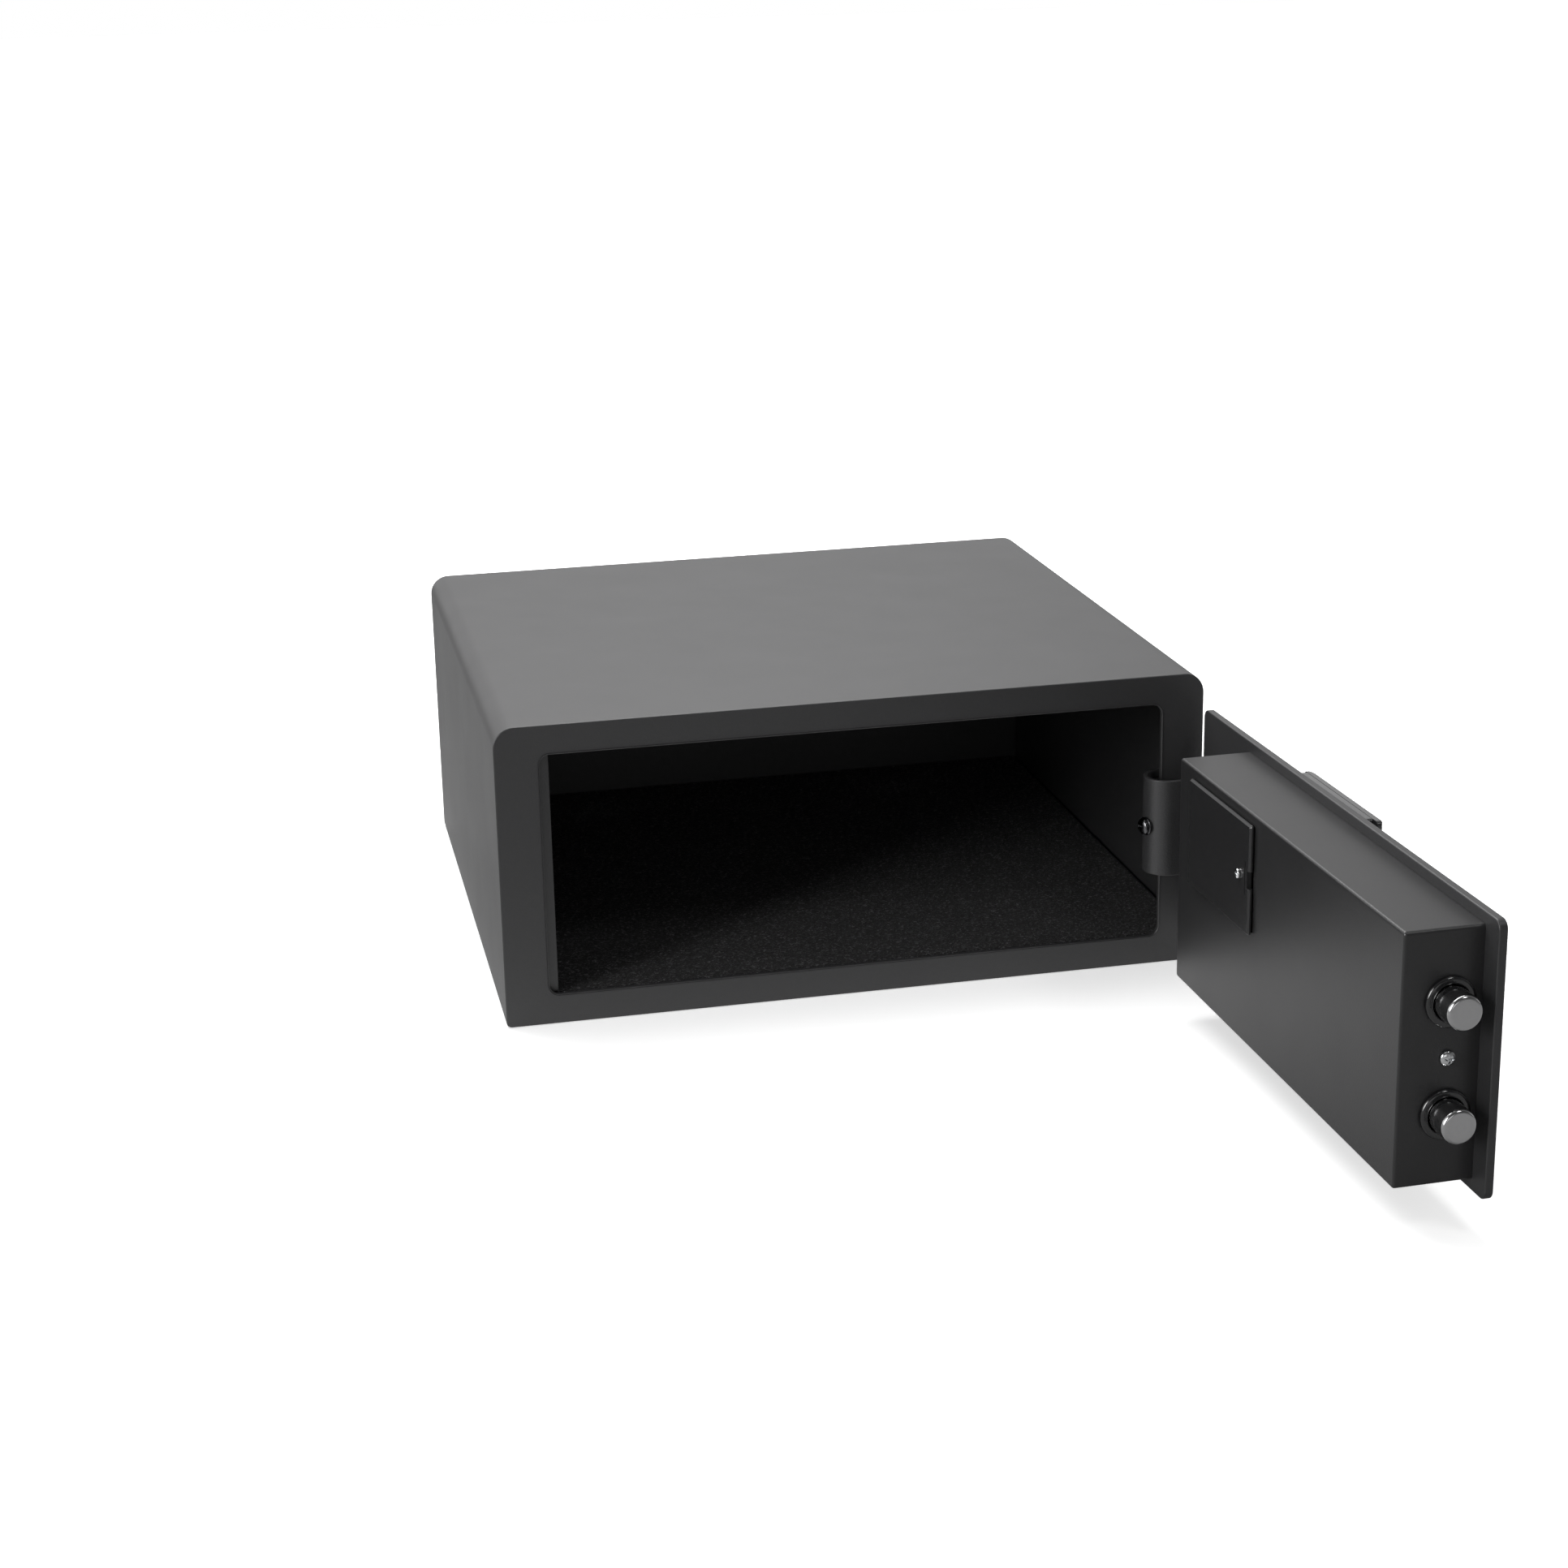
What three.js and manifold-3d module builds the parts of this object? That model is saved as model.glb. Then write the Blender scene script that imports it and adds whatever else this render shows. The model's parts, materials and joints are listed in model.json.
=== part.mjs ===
// Laptop safe with an inset front door, shown with the door swung open and both bolts thrown.
// Millimetres. X runs to the right along the front, Y into the safe, Z up. The origin is the
// middle of the underside. Everything on the door is drawn in its closed place and turned open
// about the hinge pin by one group.
import * as THREE from 'three';
import { mergeVertices } from 'three/addons/utils/BufferGeometryUtils.js';
import Module from 'manifold-3d';

const wasm = await Module();
wasm.setup();

// Clearances
const seat = 0.3;               // between two seated pieces
const running = 0.3;            // round a shaft, a pin or a sliding piece

// Carcass
const safeWidth = 420;
const safeDepth = 376;
const safeHeight = 180;
const wallSheet = 2;
const frontSheet = 3;
const backSheet = 2;
const topCornerRadius = 12;
const bottomCornerRadius = 3;
const frontEdgeRadius = 1.2;
const frameSide = 25.75;        // front sheet beside the opening
const frameHigh = 17.7;         // front sheet above and below it
const openingEdgeChamfer = 0.5;
const matThickness = 4;
const matRecess = 0.3;          // pile below the lip of the opening
const floorSheet = 1.5;
const anchorHoleRadius = 5;
const floorAnchorInset = 70;    // from each side
const floorAnchorSetback = 60;  // behind the middle of the floor
const backAnchorInset = 110;

// Door
const restOpening = 91.1;       // degrees from closed to the pose shown
const doorGapSide = 1.8;
const doorGapTop = 0.9;
const doorCornerRadius = 5;
const doorPlate = 4.4;
const doorEdgeChamfer = 0.5;

// Strike rail, which the door closes on and the bolts pass behind
const railSheet = 2.5;
const railLedge = 5.7;          // what shows inside the opening
const railWeldLeg = 19;
const railReturnGap = 1.2;      // to the side of a thrown bolt
const stopGap = 0.3;

// Hinge: a hairpin strap that reaches round the jamb, on a pin behind the front plate
const pivotSetback = 8.4;       // pin axis behind the front face
const pivotWallGap = 5.95;      // pin axis to the inside of the side wall
const pinRadius = 2.5;
const pinHeadRadius = 4.2;
const pinHeadHeight = 2;
const knuckleRadius = 5;
const strapSheet = 2.5;
const strapHeight = 59;
const strapReach = 28.7;        // pin axis to the outside of the hairpin
const strapRadius = 13;         // outside of the hairpin
const strapJambGap = 1;         // to the edge of the opening as the door swings
const strapLegGap = 1;          // to the barrel
const strapBend = 4;            // middle radius of the bend into the foot
const strapFootGap = 2.5;       // to the bolt housing
const armSheet = 2.5;
const armHeight = 50;
const armTurn = 126;            // degrees that the arm follows the hairpin
const lugSheet = 4;
const lugGap = 0.5;
const lugFootHeight = 16;
const lugFootSheet = 3;
const lugLength = 21;
const strapScrewTurn = 105;     // degrees round the hairpin
const strapScrewHead = 4.7;     // head radius
const strapScrewHeadHeight = 3.1;
const strapScrewCollar = 1.3;
const strapScrewShank = 2;
const strapScrewLength = 8.5;

// Bolt housing, a folded sheet pan on the inner face of the door
const panStart = 68.3;          // from the hinge edge of the door
const panEndMargin = 13.1;      // to the free edge of the door
const panEdgeGap = 5.9;         // to the upper and lower edges of the door
const panDepth = 41.4;
const panSheet = 1.5;
const panEdgeRadius = 1.5;

// Bolts and their drive
const boltRadius = 9;
const boltThrow = 17;           // tip beyond the housing, thrown
const boltTravel = 12;
const boltSpacing = 57.5;
const boltInset = 16.8;         // axis from the inner face of the door
const boltLength = 64;
const boltChamfer = 1.4;
const boltNeckRadius = 5;
const bushFlangeRadius = 13;
const bushFlange = 2.4;
const bushWall = 1.8;
const guideSheet = 3;
const guideHeight = 86;
const guideDepth = 32;
const guideFoot = 22;
const carriageBar = 6;
const carriageWidth = 16;
const carriageEnd = 11;         // bar beyond each bolt axis
const yokeSheet = 2.5;
const yokeWidth = 26;
const yokeInset = 11;           // from the inner face of the door
const crankPinRadius = 2;
const crankRadius = 9;
const crankSheet = 3;
const crankGap = 2.4;           // yoke to crank
const crankReach = 28;          // bar to crank axis, thrown
const motorShaftRadius = 2;
const gearboxLength = 30;
const gearboxWidth = 28;
const motorRadius = 8;
const motorLength = 30;
const endScrewHead = 3.6;
const endScrewHeadHeight = 2.4;
const endScrewShank = 1.8;
const endScrewLength = 9;

// Battery compartment
const lidStart = 89.8;          // from the hinge edge of the door
const lidLength = 86.4;
const lidHeight = 61.3;
const lidTop = 5.2;             // below the top of the housing
const lidSheet = 2.8;
const lidChamfer = 1;
const lidOverlap = 0.8;
const lidNotch = 10;
const lidNotchDepth = 3;
const lidSlot = 19;
const lidSlotWidth = 1;
const lidSlotInset = 5;
const lidScrewInset = 13.8;
const lidScrewHead = 3;
const lidScrewHeadHeight = 1.6;
const lidScrewShank = 1.4;
const lidScrewLength = 7;
const lidTab = 8;
const lidTabSheet = 1.2;
const trayWall = 1.5;
const trayDepth = 17.6;
const cellRadius = 7.1;
const cellLength = 50;
const cellNubRadius = 2.7;
const cellNub = 1;
const cellCount = 4;
const contactSheet = 0.8;
const contactGap = 0.4;
const boardSheet = 1.6;
const boardLength = 72;
const boardHeight = 92;
const boardStandoff = 6;
const boardStart = 150;
const standoffRadius = 3;
const resetRadius = 2.5;
const resetTravel = 1;
const resetInset = 14;          // from the free end of the lid

// Keypad module on the outer face of the door
const keypadStart = 120;        // from the hinge edge of the door
const keypadLength = 92;
const keypadEdgeGap = 2.4;      // to the upper and lower edges of the door
const keypadDepth = 9;          // in front of the door
const keypadCornerRadius = 2.5;
const keypadSlope = 7;          // sloped end on the hinge side
const keypadOverhang = 5.5;     // free end of the fascia beyond the base
const keypadLip = 2;            // foot of the base beyond the fascia
const fasciaSheet = 3;
const baseFloor = 1.5;
const baseWall = 2;
const keyLength = 17;
const keyPitchAcross = 22;
const keyRowGap = 5.5;
const keyRows = 4;
const keyRadius = 2.5;
const keyProud = 1.2;
const keyRim = 1;
const keyRimSheet = 0.9;
const keyTravel = 1.2;
const windowLength = 62;
const windowHeight = 17;
const windowInset = 21;         // of its middle from the top of the keypad
const windowToKeys = 26;        // of its middle to the middle of the first row
const windowRecess = 0.5;
const windowRadius = 2;
const windowSheet = 2;
const lockInset = 14;           // of its axis from the foot of the keypad
const lockToKeys = 20;          // of its axis to the middle of the last row
const lockRadius = 8;
const lockLength = 34;
const plugRadius = 5;
const lockSetback = 1.2;        // face of the lock behind the fascia
const camLength = 18;
const camSheet = 2;
const camWidth = 9;
const coverRadius = 12;
const coverSheet = 2;
const coverPivotReach = 13;
const leadInset = 12;           // from the free end of the keypad
const leadDrop = 20;            // below the middle of the door
const leadRadius = 4;

// Places worked out from the sizes
const front = -safeDepth / 2;
const back = safeDepth / 2;
const frontInner = front + frontSheet;
const middle = safeHeight / 2;
const innerWall = safeWidth / 2 - wallSheet;
const openingWidth = safeWidth - 2 * frameSide;
const openingHeight = safeHeight - 2 * frameHigh;
const lip = frameHigh;
const matTop = lip - matRecess;
const pivot = new THREE.Vector2(innerWall - pivotWallGap, front + pivotSetback);
const hingeEdge = openingWidth / 2 - doorGapSide;
const doorWidth = openingWidth - 2 * doorGapSide;
const doorHeight = openingHeight - 2 * doorGapTop;
const innerFace = front + doorPlate;
const panEnd = doorWidth - panEndMargin;
const panHeight = doorHeight - 2 * panEdgeGap;
const keypadHeight = doorHeight - 2 * keypadEdgeGap;
const windowRise = keypadHeight / 2 - windowInset;
const lockDrop = keypadHeight / 2 - lockInset;
const keyTopRow = windowRise - windowToKeys;
const keyPitchUp = (keyTopRow + lockDrop - lockToKeys) / (keyRows - 1);
const keyHeight = keyPitchUp - keyRowGap;

// A place on the door: u from its hinge edge to its free edge, v from its inner face inwards
const across = (u) => hingeEdge - u;
const inward = (v) => innerFace + v;

// Solids and cuts
function closedMesh(geometry) {
  let g = geometry.index ? geometry : geometry.clone();
  g = g.clone();
  for (const name of ['normal', 'uv']) if (g.getAttribute(name)) g.deleteAttribute(name);
  g = mergeVertices(g, 1e-4);
  const source = g.index.array;
  const kept = [];
  for (let i = 0; i < source.length; i += 3) {
    const [a, b, c] = [source[i], source[i + 1], source[i + 2]];
    if (a !== b && b !== c && c !== a) kept.push(a, b, c);
  }
  g.setIndex(kept);
  return g;
}

function toSolid(form) {
  if (!form.isBufferGeometry) return form;
  const g = closedMesh(form);
  return new wasm.Manifold(new wasm.Mesh({
    numProp: 3,
    vertProperties: new Float32Array(g.getAttribute('position').array),
    triVerts: new Uint32Array(g.index.array),
  }));
}

function toGeometry(form) {
  if (form.isBufferGeometry) return form;
  const mesh = form.getMesh();
  const g = new THREE.BufferGeometry();
  g.setAttribute('position', new THREE.BufferAttribute(new Float32Array(mesh.vertProperties), 3));
  g.setIndex(Array.from(mesh.triVerts));
  g.computeVertexNormals();
  return g;
}

const cut = (body, ...tools) => tools.reduce((s, t) => s.subtract(toSolid(t)), toSolid(body));
const join = (body, ...others) => others.reduce((s, t) => s.add(toSolid(t)), toSolid(body));
const common = (a, b) => toSolid(a).intersect(toSolid(b));

function box(x0, x1, y0, y1, z0, z1) {
  const g = new THREE.BoxGeometry(x1 - x0, y1 - y0, z1 - z0);
  return g.translate((x0 + x1) / 2, (y0 + y1) / 2, (z0 + z1) / 2);
}
const doorBox = (u0, u1, v0, v1, z0, z1) => box(across(u1), across(u0), inward(v0), inward(v1), z0, z1);

function roundedRectangle(x0, x1, y0, y1, lowRadius, highRadius = lowRadius) {
  const s = new THREE.Shape();
  s.moveTo(x0 + lowRadius, y0).lineTo(x1 - lowRadius, y0);
  s.absarc(x1 - lowRadius, y0 + lowRadius, lowRadius, -Math.PI / 2, 0, false);
  s.lineTo(x1, y1 - highRadius);
  s.absarc(x1 - highRadius, y1 - highRadius, highRadius, 0, Math.PI / 2, false);
  s.lineTo(x0 + highRadius, y1);
  s.absarc(x0 + highRadius, y1 - highRadius, highRadius, Math.PI / 2, Math.PI, false);
  s.lineTo(x0, y0 + lowRadius);
  s.absarc(x0 + lowRadius, y0 + lowRadius, lowRadius, Math.PI, Math.PI * 1.5, false);
  return s;
}
const doorRectangle = (u0, u1, z0, z1, r) => roundedRectangle(across(u1), across(u0), z0, z1, r);

function extrude(shape, depth, edge, curve, rings) {
  const g = new THREE.ExtrudeGeometry(shape, {
    depth: depth - 2 * edge, curveSegments: curve, bevelEnabled: edge > 0,
    bevelThickness: edge, bevelSize: edge, bevelOffset: -edge, bevelSegments: rings,
  });
  return edge > 0 ? g.translate(0, 0, edge) : g;
}
// Outlines in X and Z made solid along Y, and outlines in X and Y made solid along Z
const alongY = (shape, y0, y1, edge = 0, curve = 6, rings = 1) =>
  extrude(shape, y1 - y0, edge, curve, rings).rotateX(Math.PI / 2).translate(0, y1, 0);
const alongZ = (shape, z0, z1, edge = 0, curve = 12, rings = 1) =>
  extrude(shape, z1 - z0, edge, curve, rings).translate(0, 0, z0);

const rodY = (r, y0, y1, x, z, sides = 20) =>
  new THREE.CylinderGeometry(r, r, y1 - y0, sides).translate(x, (y0 + y1) / 2, z);
const rodX = (r, x0, x1, y, z, sides = 20) =>
  new THREE.CylinderGeometry(r, r, x1 - x0, sides).rotateZ(Math.PI / 2).translate((x0 + x1) / 2, y, z);
const rodZ = (r, x, y, z0, z1, sides = 20) =>
  new THREE.CylinderGeometry(r, r, z1 - z0, sides).rotateX(Math.PI / 2).translate(x, y, (z0 + z1) / 2);

// A profile of [radius, height] pairs turned about Y
const turned = (profile, sides = 20) =>
  closedMesh(new THREE.LatheGeometry(profile.map(([r, h]) => new THREE.Vector2(r, h)), sides));

// A pan-head screw with a cross recess, standing on y = 0 with its head up
function panScrew(head, headHeight, shank, length, collar = 0) {
  const ring = collar > 0 ? [[head * 1.15, 0], [head * 1.15, collar]] : [];
  const top = collar + headHeight;
  const body = turned([
    [0, -length], [shank * 0.7, -length], [shank, -length + shank * 0.5], [shank, 0], ...ring,
    [head, collar], [head, collar + headHeight * 0.45], [head * 0.84, collar + headHeight * 0.84], [0, top],
  ], 16);
  const slot = head * 0.22;
  const arm = head * 0.62;
  const deep = headHeight * 0.45;
  const bar = (a, b) => box(-a, a, top - deep, top + 1, -b, b);
  return toGeometry(cut(body, bar(arm, slot / 2), bar(slot / 2, arm)));
}

// Materials, from the photograph
const finish = (colour, roughness, metalness) =>
  new THREE.MeshStandardMaterial({ color: colour, roughness, metalness });
const paint = finish(0x3a3b3e, 0.6, 0.15);
const darkPaint = finish(0x2b2c2e, 0.62, 0.15);
const steel = finish(0xb9bbbd, 0.25, 1);
const zinc = finish(0x9a9c9e, 0.4, 1);
const chrome = finish(0xd8dadc, 0.12, 1);
const blackGloss = finish(0x0c0c0d, 0.15, 0);
const blackPlastic = finish(0x161718, 0.5, 0);
const greyPlastic = finish(0x8f9294, 0.5, 0);
const pile = finish(0x1b1b1d, 0.95, 0);
const smoked = finish(0x08090b, 0.08, 0);
const boardGreen = finish(0x1e4a2c, 0.5, 0);
const cellSleeve = finish(0x33363a, 0.35, 0.2);
const brass = finish(0xb08d4a, 0.3, 1);
const red = finish(0x9c2a22, 0.5, 0);

const safe = new THREE.Group();
const door = new THREE.Group();
door.position.set(pivot.x, pivot.y, 0);
door.rotation.z = THREE.MathUtils.degToRad(restOpening);
const closed = new THREE.Group();
closed.position.set(-pivot.x, -pivot.y, 0);
door.add(closed);
safe.add(door);

function piece(group, name, form, material) {
  const mesh = new THREE.Mesh(toGeometry(form), material);
  mesh.name = name;
  group.add(mesh);
  return mesh;
}

// Carcass: one welded and painted box, open at the back until the back panel goes in
{
  const half = safeWidth / 2;
  const outer = alongY(
    roundedRectangle(-half, half, 0, safeHeight, bottomCornerRadius, topCornerRadius),
    front, back + frontEdgeRadius, frontEdgeRadius, 4, 2);
  const inner = (y0, y1, gap) => alongY(
    roundedRectangle(-innerWall + gap, innerWall - gap, wallSheet + gap, safeHeight - wallSheet - gap,
      bottomCornerRadius - wallSheet * 0.5, topCornerRadius - wallSheet - gap), y0, y1, 0, 4);
  const mouth = alongY(
    roundedRectangle(-openingWidth / 2, openingWidth / 2, lip, safeHeight - lip, doorCornerRadius + doorGapTop),
    front - 5, frontInner + 5, 0, 4);
  const flare = new THREE.ExtrudeGeometry(
    roundedRectangle(-openingWidth / 2, openingWidth / 2, lip, safeHeight - lip, doorCornerRadius + doorGapTop),
    { depth: 4, curveSegments: 4, bevelEnabled: true, bevelThickness: openingEdgeChamfer,
      bevelSize: openingEdgeChamfer, bevelSegments: 1 },
  ).rotateX(Math.PI / 2).translate(0, front, 0);
  const anchor = (side) => rodZ(anchorHoleRadius, side * (safeWidth / 2 - floorAnchorInset), floorAnchorSetback,
    -5, matTop + 5);
  const trim = box(-half - 1, half + 1, back, back + 10, -1, safeHeight + 1);
  piece(safe, 'body_shell',
    cut(outer, trim, inner(frontInner, back + 20, 0), mouth, flare, anchor(-1), anchor(1)), paint);

  const backAnchor = (side) => rodY(anchorHoleRadius, back - backSheet - 5, back + 5,
    side * (safeWidth / 2 - backAnchorInset), middle);
  piece(safe, 'back_panel', cut(inner(back - backSheet, back, seat), backAnchor(-1), backAnchor(1)), paint);

  const floorTop = matTop - matThickness;
  const floorFront = frontInner + seat;
  const floorBack = back - backSheet - seat;
  const side = innerWall - seat;
  piece(safe, 'false_floor', cut(
    alongY(roundedRectangle(-side, side, wallSheet, floorTop, bottomCornerRadius, floorSheet),
      floorFront, floorBack, 0, 2),
    box(-side + floorSheet, side - floorSheet, floorFront + floorSheet, floorBack - floorSheet,
      wallSheet - 5, floorTop - floorSheet),
    anchor(-1), anchor(1)), darkPaint);
  piece(safe, 'floor_mat',
    alongZ(roundedRectangle(-side + 1, side - 1, floorFront + 0.7, floorBack - 0.7, 4),
      floorTop, matTop, 1, 3, 2), pile);
}

// Strike rail: a joggled strip behind the free side of the opening
{
  const edge = -openingWidth / 2;
  const tip = edge + railLedge;
  const face = innerFace + stopGap;
  const boltSide = inward(boltInset) - boltRadius;
  const step = face - frontInner;
  const rail = new THREE.Shape([
    [edge - railWeldLeg, frontInner], [edge - step - 1.5, frontInner], [edge - 1.5, face], [tip, face],
    [tip, boltSide - railReturnGap], [tip - railSheet, boltSide - railReturnGap],
    [tip - railSheet, face + railSheet], [edge - 2, face + railSheet],
    [edge - step - 2, frontInner + railSheet], [edge - railWeldLeg, frontInner + railSheet],
  ].map(([x, y]) => new THREE.Vector2(x, y)));
  piece(safe, 'strike_rail', alongZ(rail, matTop + 0.6, safeHeight - lip), paint);
}

// Hinge lugs on the side wall and the pin through them
const strapLow = middle - strapHeight / 2;
const strapHigh = middle + strapHeight / 2;
{
  const wall = innerWall - pivot.x;
  const low = -knuckleRadius;
  const outline = new THREE.Shape();
  outline.moveTo(wall, low).lineTo(wall, low + lugLength).lineTo(wall - lugFootSheet, low + lugLength);
  outline.lineTo(knuckleRadius * Math.cos(2.2), knuckleRadius * Math.sin(2.2));
  outline.absarc(0, 0, knuckleRadius, 2.2, Math.PI * 1.5, false);
  const bore = rodZ(pinRadius + running, 0, 0, -1000, 1000);
  const lug = (z0, z1, foot0, foot1) => cut(
    join(alongZ(outline, z0, z1),
      box(wall - lugFootSheet, wall, pinHeadRadius + 2 * seat, low + lugLength, foot0, foot1)),
    bore).translate(pivot.x, pivot.y, 0);
  const upper = strapHigh + lugGap;
  const lower = strapLow - lugGap;
  piece(safe, 'hinge_lug_upper', lug(upper, upper + lugSheet, upper, upper + lugFootHeight), paint);
  piece(safe, 'hinge_lug_lower', lug(lower - lugSheet, lower, lower - lugFootHeight, lower), paint);

  const pinTop = upper + lugSheet + 0.1;
  const pinFoot = lower - lugSheet - 1.5;
  piece(safe, 'hinge_pin', turned([
    [0, pinFoot], [pinRadius - 0.5, pinFoot], [pinRadius, pinFoot + 0.5], [pinRadius, pinTop],
    [pinHeadRadius, pinTop], [pinHeadRadius, pinTop + pinHeadHeight * 0.6],
    [pinHeadRadius - 0.8, pinTop + pinHeadHeight], [0, pinTop + pinHeadHeight],
  ]).rotateX(Math.PI / 2).translate(pivot.x, pivot.y, 0), zinc);
}

// Door plate, with the holes for the lock and the keypad's lead
const keypadMiddle = keypadStart + keypadLength / 2;
const lockU = keypadMiddle;
const lockZ = middle - lockDrop;
const leadU = keypadStart + keypadLength - leadInset;
{
  const plate = alongY(doorRectangle(0, doorWidth, middle - doorHeight / 2, middle + doorHeight / 2,
    doorCornerRadius), front, innerFace, doorEdgeChamfer, 4);
  piece(closed, 'door_plate', cut(plate,
    rodY(lockRadius + seat, front - 5, innerFace + 5, across(lockU), lockZ),
    rodY(leadRadius, front - 5, innerFace + 5, across(leadU), middle - leadDrop, 16)), paint);
}

// Hinge strap: a hairpin round the edge of the opening, with a foot on the door. Its arm lies in
// the bend and carries the barrel. As the door swings, the corner of the opening runs round the
// pin on a circle, and the foot leg stands just outside that circle.
{
  const sweep = Math.hypot(pivot.x - openingWidth / 2, pivotSetback);
  const inside = strapRadius - strapSheet;
  const bx = inside - strapJambGap - sweep;
  const by = strapReach - strapRadius;
  const half = strapSheet / 2;
  const foot = innerFace + seat + half - pivot.y;
  const fx = bx - strapRadius + half - strapBend;
  const fy = foot + strapBend;
  const end = across(panStart - strapFootGap) - pivot.x;
  const leg = knuckleRadius + strapLegGap;
  const s = new THREE.Shape();
  s.moveTo(bx + inside, leg).lineTo(bx + strapRadius, leg).lineTo(bx + strapRadius, by);
  s.absarc(bx, by, strapRadius, 0, Math.PI, false);
  s.absarc(fx, fy, strapBend - half, 0, -Math.PI / 2, true);
  s.lineTo(end, foot + half).lineTo(end, foot - half);
  s.absarc(fx, fy, strapBend + half, -Math.PI / 2, 0, false);
  s.absarc(bx, by, inside, Math.PI, 0, true);
  const turn = THREE.MathUtils.degToRad(strapScrewTurn);
  const screwHole = rodY(strapScrewShank + running, -strapScrewLength - 1, 5, 0, 0)
    .rotateZ(turn - Math.PI / 2)
    .translate(bx + strapRadius * Math.cos(turn), by + strapRadius * Math.sin(turn), middle);
  piece(closed, 'hinge_strap', cut(alongZ(s, strapLow, strapHigh, 0.4, 9), screwHole)
    .translate(pivot.x, pivot.y, 0), paint);

  const r1 = inside - seat;
  const r0 = r1 - armSheet;
  const armEnd = THREE.MathUtils.degToRad(armTurn);
  const a = new THREE.Shape();
  a.moveTo(bx + r0, 0).lineTo(bx + r1, 0).lineTo(bx + r1, by);
  a.absarc(bx, by, r1, 0, armEnd, false);
  a.absarc(bx, by, r0, armEnd, 0, true);
  const arm = alongZ(a, middle - armHeight / 2, middle + armHeight / 2, 0, 8);
  const reach = (strapHeight - 1) / 2;
  const knuckle = rodZ(knuckleRadius, 0, 0, middle - reach, middle + reach, 24);
  piece(closed, 'hinge_arm', cut(join(knuckle, arm), rodZ(pinRadius + running, 0, 0, 0, safeHeight),
    screwHole).translate(pivot.x, pivot.y, 0), darkPaint);
  const head = strapRadius + seat;
  piece(closed, 'strap_screw', panScrew(strapScrewHead, strapScrewHeadHeight, strapScrewShank,
    strapScrewLength, strapScrewCollar).rotateZ(turn - Math.PI / 2)
    .translate(pivot.x + bx + head * Math.cos(turn), pivot.y + by + head * Math.sin(turn), middle), chrome);
}

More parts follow.
